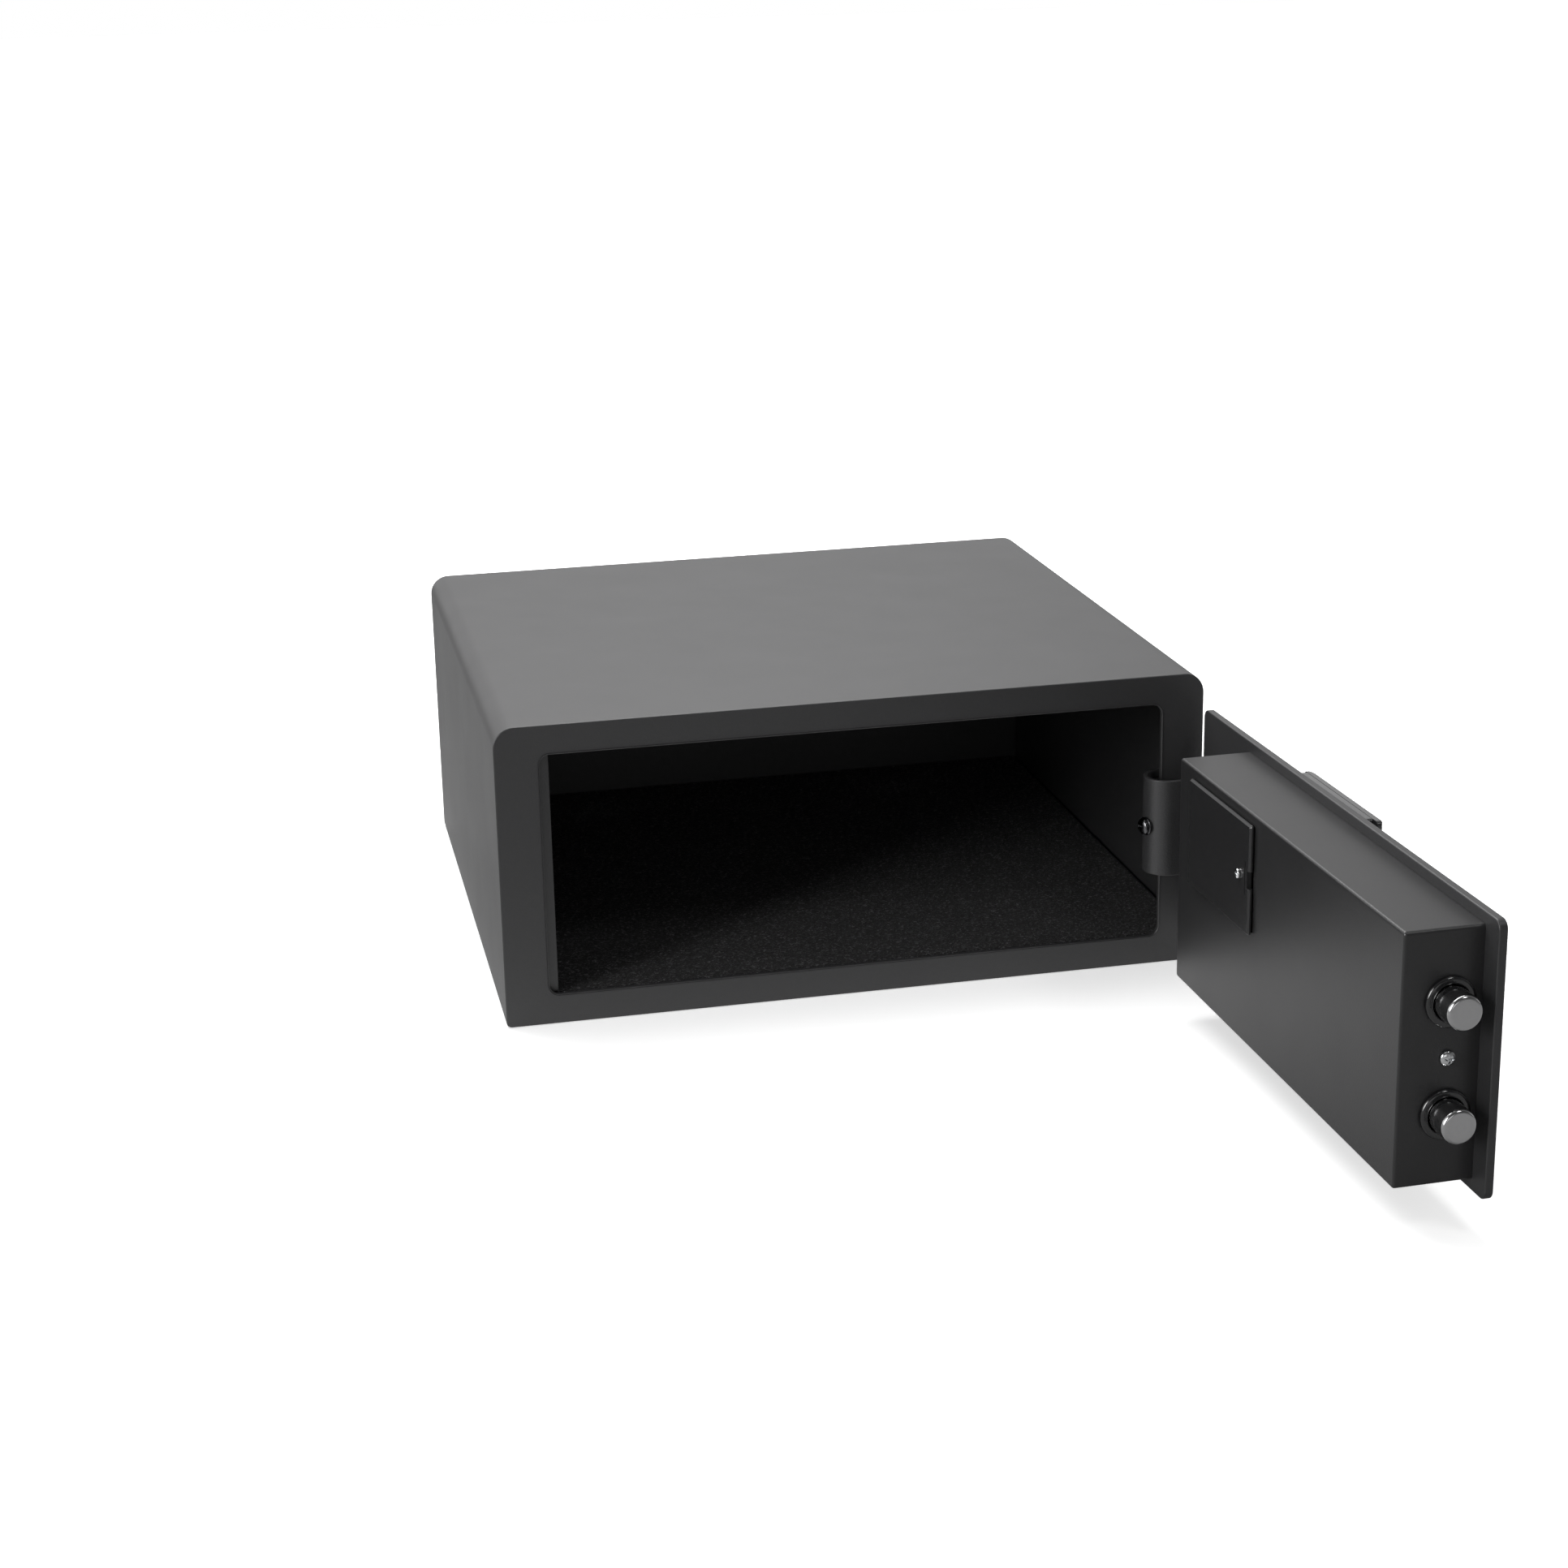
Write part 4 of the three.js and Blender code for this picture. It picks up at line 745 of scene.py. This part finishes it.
class SAFE_OT_lining(bpy.types.Operator):
    """Lays the needle felt on the inner floor, with its stray fibres"""
    bl_idname = "safe.lining"
    bl_label = "Lining"

    def execute(self, context):
        settings = context.scene.laptop_safe
        low, high = box_mm("floor_mat")
        top = high[2] - 0.25
        felt_piece = self.sheet(low, high, top, settings.felt_pile)
        fuzz = self.fibres(low, high, top, settings.stray_fibres)
        return {"FINISHED"}

    def sheet(self, low, high, top, pile_height):
        """One closed sheet: a top grid, and the same border carried down to a flat underside. The
        pile's height is a sum of lattice noises of 2, 5 and 40 mm cells, rolled down by a quarter
        round near the border."""
        pitch, roll_width, roll_height = 1.45, 2.2, 1.4
        nx, ny = int((high[0] - low[0]) / pitch), int((high[1] - low[1]) / pitch)
        x, y = np.meshgrid(np.linspace(low[0], high[0], nx), np.linspace(low[1], high[1], ny), indexing="ij")
        wander = 0.35 * lattice_noise(x, y, 5, 9.0)
        edge = np.minimum.reduce([x - low[0], high[0] - x, y - low[1], high[1] - y])
        roll = roll_height * (1 - np.sqrt(1 - (1 - np.clip(edge / roll_width, 0, 1)) ** 2))
        pile = (0.45 * lattice_noise(x, y, 1, 2.0) + 0.35 * lattice_noise(x, y, 2, 5.0)
                + 0.2 * lattice_noise(x, y, 3, 40.0))
        z = np.minimum(top + pile_height * 0.5 * (pile - 0.4) - roll, high[2])
        inside = edge > 0.5
        x, y = x + wander * inside, y + wander * inside
        upper = np.stack([x, y, z], -1).reshape(-1, 3)
        grid = np.arange(nx * ny).reshape(nx, ny)
        quads = np.stack([grid[:-1, :-1], grid[1:, :-1], grid[1:, 1:], grid[:-1, 1:]], -1).reshape(-1, 4)
        border = np.concatenate([grid[:-1, 0], grid[-1, :-1], grid[:0:-1, -1], grid[0, :0:-1]])
        foot = upper[border].copy()
        foot[:, 2] = low[2]
        start, count = len(upper), len(border)
        j = np.arange(count)
        sides = np.stack([border, start + j, start + (j + 1) % count, border[(j + 1) % count]], -1)
        mesh = surface_mesh("lining", np.concatenate([upper, foot]), np.concatenate([quads, sides]),
                            [(start + j[::-1]).tolist()])
        return finish_piece(mesh, "lining", "felt", "carcass", ["floor_mat"], 180)

    def fibres(self, low, high, top, count):
        """Stray fibres: each is a thin three-sided tube through four rings, whose middle line
        rises, bows sideways and falls back: p(t) = root + t . along + 4t(1 - t) . lift."""
        rng = np.random.default_rng(11)
        margin = 4
        root = np.stack([rng.uniform(low[0] + margin, high[0] - margin, count),
                         rng.uniform(low[1] + margin, high[1] - margin, count),
                         np.full(count, top - 0.35)], -1)
        heading = rng.uniform(0, 2 * math.pi, count)
        reach = rng.uniform(1.2, 3.4, count)
        flat = np.zeros(count)
        along = np.stack([np.cos(heading) * reach, np.sin(heading) * reach, flat], -1)
        lift = np.stack([rng.normal(0, 0.3, count), rng.normal(0, 0.3, count),
                         rng.uniform(0.25, 0.6, count)], -1)
        thick = 0.055 * np.array([1.0, 0.9, 0.8, 0.5])
        rings, sides = len(thick), 3
        t = np.linspace(0, 1, rings)[None, :, None]
        line = root[:, None] + t * along[:, None] + 4 * t * (1 - t) * lift[:, None]
        a = np.arange(sides) * 2 * math.pi / sides
        across = np.stack([-np.sin(heading), np.cos(heading), flat], -1)
        offset = (np.cos(a)[None, None, :, None] * across[:, None, None]
                  + np.sin(a)[None, None, :, None] * np.array([0, 0, 1.0]))
        points = (line[:, :, None] + thick[None, :, None, None] * offset).reshape(-1, 3)
        points[:, 2] = np.minimum(points[:, 2], high[2] + 0.3)
        shift = np.arange(count)[:, None, None] * rings * sides
        quads = (ring_quads(rings, sides)[None] + shift).reshape(-1, 4)
        caps = (np.array([[0, 2, 1], [9, 10, 11]])[None] + shift).reshape(-1, 3).tolist()
        return finish_piece(surface_mesh("lining_fibres", points, quads, caps), "lining_fibres", "felt",
                            "carcass", (), 180)


class SAFE_OT_door(bpy.types.Operator):
    """Builds the door plate, the bolt housing, the hinge strap and the battery lid"""
    bl_idname = "safe.door"
    bl_label = "Door"

    def execute(self, context):
        self.plate(context.scene.laptop_safe.door_edge)
        self.housing()
        self.strap()
        softened("hinge_arm", "strap_arm", "coat_dark", 0.4)
        softened("battery_lid", "cell_lid", "lid", 0.65, steps=3)
        return {"FINISHED"}

    def plate(self, edge):
        """The door plate: rounded outlines from its outer to its inner face, both edges rolled."""
        half_high, inner_side = MIDDLE - LIP - GAP_TOP, 0.2
        lock_hole, lead_hole = 8.3, 4.0

        def outline(inset):
            return rounded_outline(inset, DOOR_WIDTH - inset, MIDDLE - half_high + inset,
                                   MIDDLE + half_high - inset, DOOR_CORNER - inset, None, 8)

        rings = [on_door(upright(outline(across), -PLATE + along)) for along, across in edge_roll(edge)[::-1]]
        rings += [on_door(upright(outline(across), inner_side - along)) for along, across in edge_roll(edge)]
        lock = sum(box_mm("lock_cylinder")) / 2
        leads = on_door([200, -2, MIDDLE - 20])
        holes = [(lock, V_AXIS, lock_hole, 60), (leads, V_AXIS, lead_hole, 16)]
        finish_piece(drilled(loft("door_plate_finished", rings), holes), "door_sheet", "coat", "door",
                     ["door_plate"])

    def housing(self):
        """The bolt housing: a pan with rolled edges, open to the door, a hatch for the cells in its
        face and holes for bolts and screw in its end."""
        low, high, inside = MIDDLE - PAN_HALF, MIDDLE + PAN_HALF, PAN_DEPTH - PAN_SHEET
        corner, inner_corner, hatch_corner, bolt_hole, screw_hole = 2.0, 0.6, 1.0, 11.4, 2.1

        def pan(inset, radius, depth):
            outline = rounded_outline(PAN_START + inset, PAN_END - inset, low + inset, high - inset, radius,
                                      None, 5)
            return on_door(upright(outline, depth))

        hatch = rounded_outline(LID_START + LID_OVERLAP, LID_START + LID_LENGTH - LID_OVERLAP,
                                high - LID_DROP - LID_HEIGHT + LID_OVERLAP, high - LID_DROP - LID_OVERLAP,
                                hatch_corner, None, 5)
        rings = [pan(0, corner, SEAT)]
        rings += [pan(across, corner - 0.9 * across, PAN_DEPTH - along)
                  for along, across in edge_roll(PAN_ROLL, 5)]
        rings += [on_door(upright(hatch, PAN_DEPTH)), on_door(upright(hatch, inside))]
        rings += [pan(PAN_SHEET, inner_corner, inside), pan(PAN_SHEET, inner_corner, SEAT)]
        holes = [(on_door([PAN_END, BOLT_INSET, MIDDLE + rise]), U_AXIS, radius, 16)
                 for rise, radius in ((BOLT_RISE, bolt_hole), (-BOLT_RISE, bolt_hole), (0, screw_hole))]
        finish_piece(drilled(loft("housing", rings, wrap=True), holes), "housing", "housing", "door",
                     ["bolt_housing"])

    def strap(self):
        """A hairpin, drawn about the pin in its closed place. From the arm it runs inwards, turns
        half round, comes back outside the circle that the corner of the opening runs on, and bends
        into a foot on the door. One screw ties it to the arm."""
        inside, sheet, bend, reach, half_high, jamb_gap, foot_gap = 10.5, 2.5, 4.0, 28.7, 29.5, 1.0, 2.5
        bx = inside - jamb_gap - math.hypot(PIVOT[0] - OPENING_HALF, PIVOT[1] - FRONT)
        by, mid = reach - inside - sheet, inside + sheet / 2
        foot = INNER_FACE + SEAT + sheet / 2 - PIVOT[1]
        fx, fy, stop = bx - mid - bend, foot + bend, HINGE_EDGE - (PAN_START - foot_gap) - PIVOT[0]
        big, big_out = arc(bx, by, mid, 0, math.pi, 48)
        small, small_out = arc(fx, fy, bend, 0, -math.pi / 2, 12)
        path = np.concatenate([[[bx + mid, 6.0], [bx + mid, 7.0]], big, small,
                               [[stop + 1.0, foot], [stop, foot]]])
        normals = np.concatenate([[[1, 0], [1, 0]], big_out, -small_out, [[0, 1], [0, 1]]])
        c, s = math.cos(OPEN), math.sin(OPEN)
        spin = np.array([[c, s], [-s, c]])
        section = rounded_outline(-sheet / 2, sheet / 2, MIDDLE - half_high, MIDDLE + half_high, 0.6, None, 4)
        finish_piece(swept_mesh("strap", path @ spin + PIVOT, normals @ spin, section), "strap", "strap",
                     "door", ["hinge_strap"])
        around = math.radians(105)
        way = np.array([math.cos(around), math.sin(around)])
        seat = (np.array([bx, by]) + (inside + sheet + SEAT) * way) @ spin + PIVOT
        screw = pan_screw("screw_strap", [*seat, MIDDLE], [*(way @ spin), 0], 4.7, 3.1, 2, 8.5, 1.3)
        finish_piece(screw, "screw_strap", "black_nickel", "door", ["strap_screw"], 34)


class SAFE_OT_bolts(bpy.types.Operator):
    """Turns the bolts and their bushes, and finishes what drives them"""
    bl_idname = "safe.bolts"
    bl_label = "Bolts"

    def execute(self, context):
        edge = context.scene.laptop_safe.bolt_edge
        for name, rise in (("upper", BOLT_RISE), ("lower", -BOLT_RISE)):
            start = on_door([0, BOLT_INSET, MIDDLE + rise])
            bar = turned_mesh(f"bolt_bar_{name}", self.bolt_profile(edge), start, U_AXIS, 72)
            finish_piece(bar, f"bolt_bar_{name}", "steel", "bolt_carriage",
                         [f"bolt_{name}"], 38)
            bush = turned_mesh(f"bush_{name}", self.bush_profile(), start, U_AXIS, 64)
            finish_piece(bush, f"bush_{name}", "bush", "door", [f"bolt_bush_{name}"], 40)
        softened("bolt_carriage", "carriage", "zinc", 0.3)
        softened("bolt_guide", "guide", "zinc", 0.3)
        softened("drive_crank", "crank", "zinc", 0.25)
        softened("gear_motor", "gearbox", "zinc", 0.4)
        screw = pan_screw("screw_end", on_door([PAN_END + SEAT, BOLT_INSET, MIDDLE]), U_AXIS, 4, 2.6, 1.8, 9)
        finish_piece(screw, "screw_end", "chrome", "door", ["end_screw"], 34)
        low, high = box_mm("lid_screw")
        seat = on_door([LID_START + LID_LENGTH - LID_SCREW_INSET, PAN_DEPTH + SEAT + LID_SHEET + SEAT,
                        (low[2] + high[2]) / 2])
        screw = pan_screw("screw_lid", seat, V_AXIS, 2.6, 1.5, 1.4, 7)
        finish_piece(screw, "screw_lid", "chrome", "battery_lid", ["lid_screw"], 34)
        return {"FINISHED"}

    def bolt_profile(self, edge):
        """Radius and distance along a bolt: a flat face, a quarter round, the bar and its neck."""
        tip, shoulder, neck, neck_end, middle = PAN_END + BOLT_REACH, 64, 5, 71, 0.01
        roll = np.linspace(0, math.pi / 2, 7)
        nose = [(BOLT_RADIUS - edge + edge * math.sin(a), tip - edge + edge * math.cos(a)) for a in roll]
        bar = [(BOLT_RADIUS, place)
               for place in (tip - edge - 0.4, tip - 5, PAN_END - 8, tip - shoulder + 0.6)]
        return [(middle, tip), (3, tip), (5.5, tip), *nose, *bar, (BOLT_RADIUS - 0.4, tip - shoulder),
                (neck, tip - shoulder), (neck, tip - neck_end + 0.6), (neck - 0.4, tip - neck_end),
                (middle, tip - neck_end)]

    def bush_profile(self):
        """Radius and distance along a bush: the sleeve, a flange with a rounded lip and a flared
        throat."""
        inner, sleeve, flange, face, depth = BOLT_RADIUS + SEAT, 11.1, 13.0, PAN_END + SEAT, 5.8
        roll = np.linspace(0, math.pi / 2, 7)
        lip = [(flange - 1.5 + 1.5 * math.cos(a), face + 0.9 + 1.5 * math.sin(a)) for a in roll]
        throat = [(inner + 0.9 - 0.9 * math.sin(a), face + 1.5 + 0.9 * math.cos(a)) for a in roll]
        start = (inner, PAN_END - depth)
        return [start, (sleeve, PAN_END - depth), (sleeve, face), (flange, face), *lip, *throat, start]


class SAFE_OT_cells(bpy.types.Operator):
    """Finishes the battery tray, the cells, the contacts, the circuit board and the reset button"""
    bl_idname = "safe.cells"
    bl_label = "Cells and board"

    def execute(self, context):
        softened("battery_tray", "tray", "plastic", 0.3)
        for side in ("inner", "outer"):
            softened(f"battery_contacts_{side}", f"contacts_{side}", "zinc", 0.15)
        for i in range(1, 5):
            softened(f"battery_{i}", f"cell_{i}", "sleeve", 0.3)
        softened("circuit_board", "board", "board", 0.2)
        softened("reset_button", "reset", "red", 0.3)
        return {"FINISHED"}


class SAFE_OT_keypad(bpy.types.Operator):
    """Finishes the keypad, its keys with their figures, the window and the emergency lock"""
    bl_idname = "safe.keypad"
    bl_label = "Keypad"

    def execute(self, context):
        figure_height = context.scene.laptop_safe.legend_height / MM
        self.widen(softened("keypad_base", "pad_base", "fascia", 0.2))
        softened("keypad_fascia", "pad_fascia", "fascia", 0.25, steps=3)
        softened("display_window", "window", "window", 0.3)
        softened("lock_cylinder", "lock_body", "zinc", 0.3)
        softened("lock_plug", "plug", "brass", 0.25)
        softened("lock_cover", "cover", "plastic", 0.6, steps=3)
        reading = Matrix.Rotation(OPEN, 4, "Z") @ Matrix.Rotation(math.pi / 2, 4, "X")
        cap_face = on_door([0, -PLATE - KEYPAD_DEPTH - KEY_PROUD, 0])
        for key in (*DIGIT_KEYS, "clear", "lock"):
            softened(f"key_{key}", f"keycap_{key}", "grey", 0.35, steps=3)
            spot = sum(box_mm(f"key_{key}")) / 2
            spot = spot - ((spot - cap_face) @ V_AXIS) * V_AXIS
            mesh = self.figure(key, figure_height)
            mesh.transform(Matrix.Translation(Vector(spot * MM)) @ reading)
            finish_piece(mesh, f"figure_{key}", "legend", f"key_{key}", (), 30)
        return {"FINISHED"}

    def widen(self, base):
        """Brings the wall of the keypad's base out nearly flush with the fascia, above and below
        and at its rim, so that the seam stays a hairline."""
        out, rim_out, wall_band = 0.85, 0.26, 3
        low, high = box_mm("keypad_base")
        places = np.empty(len(base.data.vertices) * 3, np.float32)
        base.data.vertices.foreach_get("co", places)
        places = places.reshape(-1, 3)
        rise = places[:, 2] / MM - (low[2] + high[2]) / 2
        outer = abs(rise) > (high[2] - low[2]) / 2 - wall_band
        places[:, 2] += out * MM * np.sign(rise) * outer
        depth = (places / MM - on_door([0, 0, 0])) @ V_AXIS
        places -= rim_out * MM * (outer & (depth < depth.min() + 0.05))[:, None] * V_AXIS
        base.data.vertices.foreach_set("co", places.ravel())

    def figure(self, key, height):
        """A thin raised figure centred on its origin, read along +X with +Y up, facing +Z."""
        if key in DIGIT_KEYS:
            return self.digit(key, height)
        h = height / 2
        if key == "clear":
            # Two strokes that cross: the outline of a plus turned by an eighth of a circle.
            c = math.sqrt(0.5)
            return self.raised("cross", plus_outline(h * 0.2, h) * 0.95 @ np.array([[c, c], [-c, c]]))
        body = rounded_outline(-h * 0.62, h * 0.62, -h * 0.9, h * 0.1, h * 0.12, None, 3)
        # The shackle is a half ring on two legs, its outline run out and back.
        a = np.linspace(0, math.pi, 13)
        outer, inner, foot = h * 0.42, h * 0.27, h * 0.1
        out, back = (np.stack([r * np.cos(a), h * 0.35 + r * np.sin(a)], -1) for r in (outer, inner))
        shackle = np.concatenate([[[outer, foot]], out, [[-outer, foot], [-inner, foot]], back[::-1],
                                  [[inner, foot]]])
        joined = bmesh.new()
        for name, outline in (("padlock", body), ("shackle", shackle)):
            part = self.raised(name, outline)
            joined.from_mesh(part)
            bpy.data.meshes.remove(part)
        mesh = bpy.data.meshes.new("padlock")
        joined.to_mesh(mesh)
        joined.free()
        return mesh

    def raised(self, name, outline):
        """An outline made a thin slab, from just under the cap's face to just above it."""
        return loft(name, [np.c_[outline, np.full(len(outline), z)] for z in (-0.05, 0.06)])

    def digit(self, key, height):
        """A digit from Blender's own font, made a mesh and centred."""
        text = bpy.data.curves.new("figure", "FONT")
        text.body, text.size = key, height * 1.38 * MM
        text.align_x, text.align_y = "CENTER", "CENTER"
        text.extrude, text.resolution_u = 0.00006, 4
        carrier = bpy.data.objects.new("figure", text)
        bpy.context.scene.collection.objects.link(carrier)
        bpy.context.view_layer.update()
        mesh = bpy.data.meshes.new_from_object(
            carrier.evaluated_get(bpy.context.evaluated_depsgraph_get()))
        bpy.data.objects.remove(carrier)
        co = np.empty(len(mesh.vertices) * 3, np.float32)
        mesh.vertices.foreach_get("co", co)
        co = co.reshape(-1, 3)
        co[:, :2] -= (co[:, :2].min(0) + co[:, :2].max(0)) / 2
        mesh.vertices.foreach_set("co", co.ravel())
        return mesh


# Width and focal length of the photograph in pixels, the camera's place in metres, its azimuth,
# tilt and roll in degrees, its shift in picture widths, and the sensor's width in millimetres
PHOTO_WIDTH, FOCAL_LENGTH = 1932, 3378
CAMERA_PLACE, CAMERA_TURN, CAMERA_SHIFT = (-0.353, -1.655, 0.619), (11.93, 16.31, -1.18), -0.05
SENSOR_WIDTH = 36


class SAFE_OT_stage(bpy.types.Operator):
    """Sets the pale floor, the studio light and the camera"""
    bl_idname = "safe.stage"
    bl_label = "Stage"

    def execute(self, context):
        scene = context.scene
        scene.view_settings.view_transform = "Standard"
        self.floor(scene)
        self.backdrop(scene)
        for lamp in (("overhead", (-0.2, 0.6, 1.65), (0.0, 0.05, 0.1), (1.8, 1.4), 38),
                     ("left", (-1.7, -1.2, 0.8), (0.05, -0.25, 0.12), (0.4, 0.8), 10),
                     ("front", (0.8, -1.35, 1.8), (0.1, -0.3, 0.1), (0.45, 0.45), 4),
                     ("fill", (-0.1, -1.9, 0.35), (0.0, 0.0, 0.09), (0.8, 0.5), 0.8)):
            self.softbox(scene, *lamp)
        self.camera(scene)
        return {"FINISHED"}

    def rays(self, tree):
        """Masks of the rays that come from the camera, and of those that a surface mirrors or
        lets through."""
        path = tree.nodes.new("ShaderNodeLightPath").outputs
        return path["Is Camera Ray"], maths(tree, "ADD", path["Is Glossy Ray"], path["Is Transmission Ray"],
                                            clamp=True)

    def floor(self, scene):
        """A wide floor, white for the camera and grey as a source of light. Beyond the object's
        shadow it turns into the white backdrop. What is polished also shows a pool of painted light
        before the open front, and a strip of painted light along the foot of the left side."""
        mesh = bpy.data.meshes.new("floor")
        r, level = 14.0, -0.0004
        mesh.from_pydata([(-r, -r, level), (r, -r, level), (r, r, level), (-r, r, level)], [], [(0, 1, 2, 3)])
        floor = bpy.data.objects.new("floor", mesh)
        scene.collection.objects.link(floor)
        material, tree, surface, place = blank_material("Pale floor")
        seen, mirrored = self.rays(tree)
        plain = mixed(tree, mirrored, (0.3, 0.3, 0.3), (0.38, 0.38, 0.38))
        feed(tree, surface["Base Color"], mixed(tree, seen, plain, (0.96, 0.96, 0.96)))
        away = node(tree, "ShaderNodeVectorMath", {"operation": "LENGTH"}, _0=place["Object"])
        fade = spread(tree, away.outputs["Value"], 0.4, 1.1, 0.55, smooth=True)
        axes = node(tree, "ShaderNodeSeparateXYZ", None, Vector=place["Object"]).outputs
        # Painted light seen only in reflections: a glowing pool before the open front and a glowing strip by
        # the left side.
        ahead = maths(tree, "POWER", spread(tree, axes["Y"], -0.62, -0.2), 2.8)
        before = maths(tree, "LESS_THAN", axes["Y"], FRONT * MM)
        width = spread(tree, maths(tree, "ABSOLUTE", axes["X"]), 0.2, 0.5, 0.8, 0.0, smooth=True)
        pool = maths(tree, "MULTIPLY", maths(tree, "MULTIPLY", ahead, width), before)
        outside = maths(tree, "LESS_THAN", axes["X"], -0.205)
        strip = maths(tree, "MULTIPLY", spread(tree, axes["X"], -0.26, -0.21, 0.0, 0.35), outside)
        glow = maths(tree, "MULTIPLY", maths(tree, "MAXIMUM", pool, strip), mirrored)
        feed(tree, surface["Emission Color"], maths(tree, "MULTIPLY_ADD", fade, seen, glow))
        surface["Emission Strength"].default_value = 1.0
        surface["Roughness"].default_value = 0.9
        surface["Specular IOR Level"].default_value = 0.1
        mesh.materials.append(material)

    def backdrop(self, scene):
        """A world that is white for the camera and dim as plain light. Polished surfaces see it
        darker behind the camera, overhead and at the right, with a large window at the left that
        shows in rounded metal edges."""
        scene.world = world = bpy.data.worlds.new("Studio")
        world.use_nodes = True
        tree = world.node_tree
        tree.nodes.clear()
        out = tree.nodes.new("ShaderNodeOutputWorld")
        background = node(tree, "ShaderNodeBackground", None, Color=(1, 1, 1))
        tree.links.new(background.outputs[0], out.inputs["Surface"])
        seen, mirrored = self.rays(tree)
        way = tree.nodes.new("ShaderNodeTexCoord").outputs["Generated"]
        axes = node(tree, "ShaderNodeSeparateXYZ", None, Vector=way).outputs
        behind = spread(tree, axes["Y"], -0.35, 0.3, 0.2)
        higher = spread(tree, axes["Z"], 0.2, 0.42, 1.1, 0.45)
        right = spread(tree, axes["X"], 0.3, 0.45, 1.0, 0.7)
        sides = maths(tree, "MULTIPLY", maths(tree, "MULTIPLY", behind, higher), right)
        facing = node(tree, "ShaderNodeVectorMath", {"operation": "DOT_PRODUCT"}, _0=way,
                      _1=(-0.887, -0.327, 0.327))
        window = spread(tree, facing.outputs["Value"], 0.92, 0.97, 0.0, 4.0, smooth=True)
        strength = blend(tree, mirrored, 0.22, maths(tree, "ADD", sides, window))
        feed(tree, background.inputs["Strength"], blend(tree, seen, strength, 1.0))

    def softbox(self, scene, name, place, aim, size, power):
        """An area lamp at a place, turned to face the aim."""
        light = bpy.data.lights.new(name, "AREA")
        light.shape, light.size, light.size_y, light.energy = "RECTANGLE", size[0], size[1], power
        lamp = bpy.data.objects.new(name, light)
        scene.collection.objects.link(lamp)
        lamp.location = place
        lamp.rotation_euler = (Vector(aim) - Vector(place)).to_track_quat("-Z", "Y").to_euler()

    def camera(self, scene):
        """The photograph's camera: it looks along its azimuth and tilt, turned by its roll."""
        camera = bpy.data.cameras.new("camera")
        camera.sensor_fit, camera.sensor_width = "HORIZONTAL", SENSOR_WIDTH
        camera.lens = FOCAL_LENGTH / PHOTO_WIDTH * SENSOR_WIDTH
        camera.shift_y = CAMERA_SHIFT
        camera.clip_start, camera.clip_end = 0.05, 60
        holder = bpy.data.objects.new("camera", camera)
        scene.collection.objects.link(holder)
        az, el, roll = (math.radians(a) for a in CAMERA_TURN)
        forward = Vector((math.sin(az) * math.cos(el), math.cos(az) * math.cos(el), -math.sin(el)))
        right = forward.cross(Vector((0, 0, 1))).normalized()
        up = right.cross(forward)
        right, up = math.cos(roll) * right + math.sin(roll) * up, math.cos(roll) * up - math.sin(roll) * right
        turn = Matrix((right, up, -forward)).transposed().to_4x4()
        holder.matrix_world = Matrix.Translation(CAMERA_PLACE) @ turn
        scene.camera = holder


class SAFE_PT_panel(bpy.types.Panel):
    """Sizes, colours and the steps that build the safe"""
    bl_idname = "SAFE_PT_panel"
    bl_label = "Laptop safe"
    bl_space_type = "VIEW_3D"
    bl_region_type = "UI"
    bl_category = "Safe"

    def draw(self, context):
        for name in SafeSettings.__annotations__:
            self.layout.prop(context.scene.laptop_safe, name)
        for step in STEPS:
            self.layout.operator(step.bl_idname)


STEPS = (SAFE_OT_finishes, SAFE_OT_stage, SAFE_OT_carcass, SAFE_OT_lining, SAFE_OT_door, SAFE_OT_bolts,
         SAFE_OT_cells, SAFE_OT_keypad)
CLASSES = (SafeSettings, *STEPS, SAFE_PT_panel)


def register():
    for cls in CLASSES:
        bpy.utils.register_class(cls)
    bpy.types.Scene.laptop_safe = PointerProperty(type=SafeSettings)


def unregister():
    del bpy.types.Scene.laptop_safe
    for cls in reversed(CLASSES):
        bpy.utils.unregister_class(cls)


def main():
    """Builds the finished safe, its stage and its camera."""
    register()
    bpy.ops.safe.finishes()
    bpy.ops.safe.stage()
    bpy.ops.safe.carcass()
    bpy.ops.safe.lining()
    bpy.ops.safe.door()
    bpy.ops.safe.bolts()
    bpy.ops.safe.cells()
    bpy.ops.safe.keypad()
    bpy.context.view_layer.update()


if __name__ == "__main__":
    main()
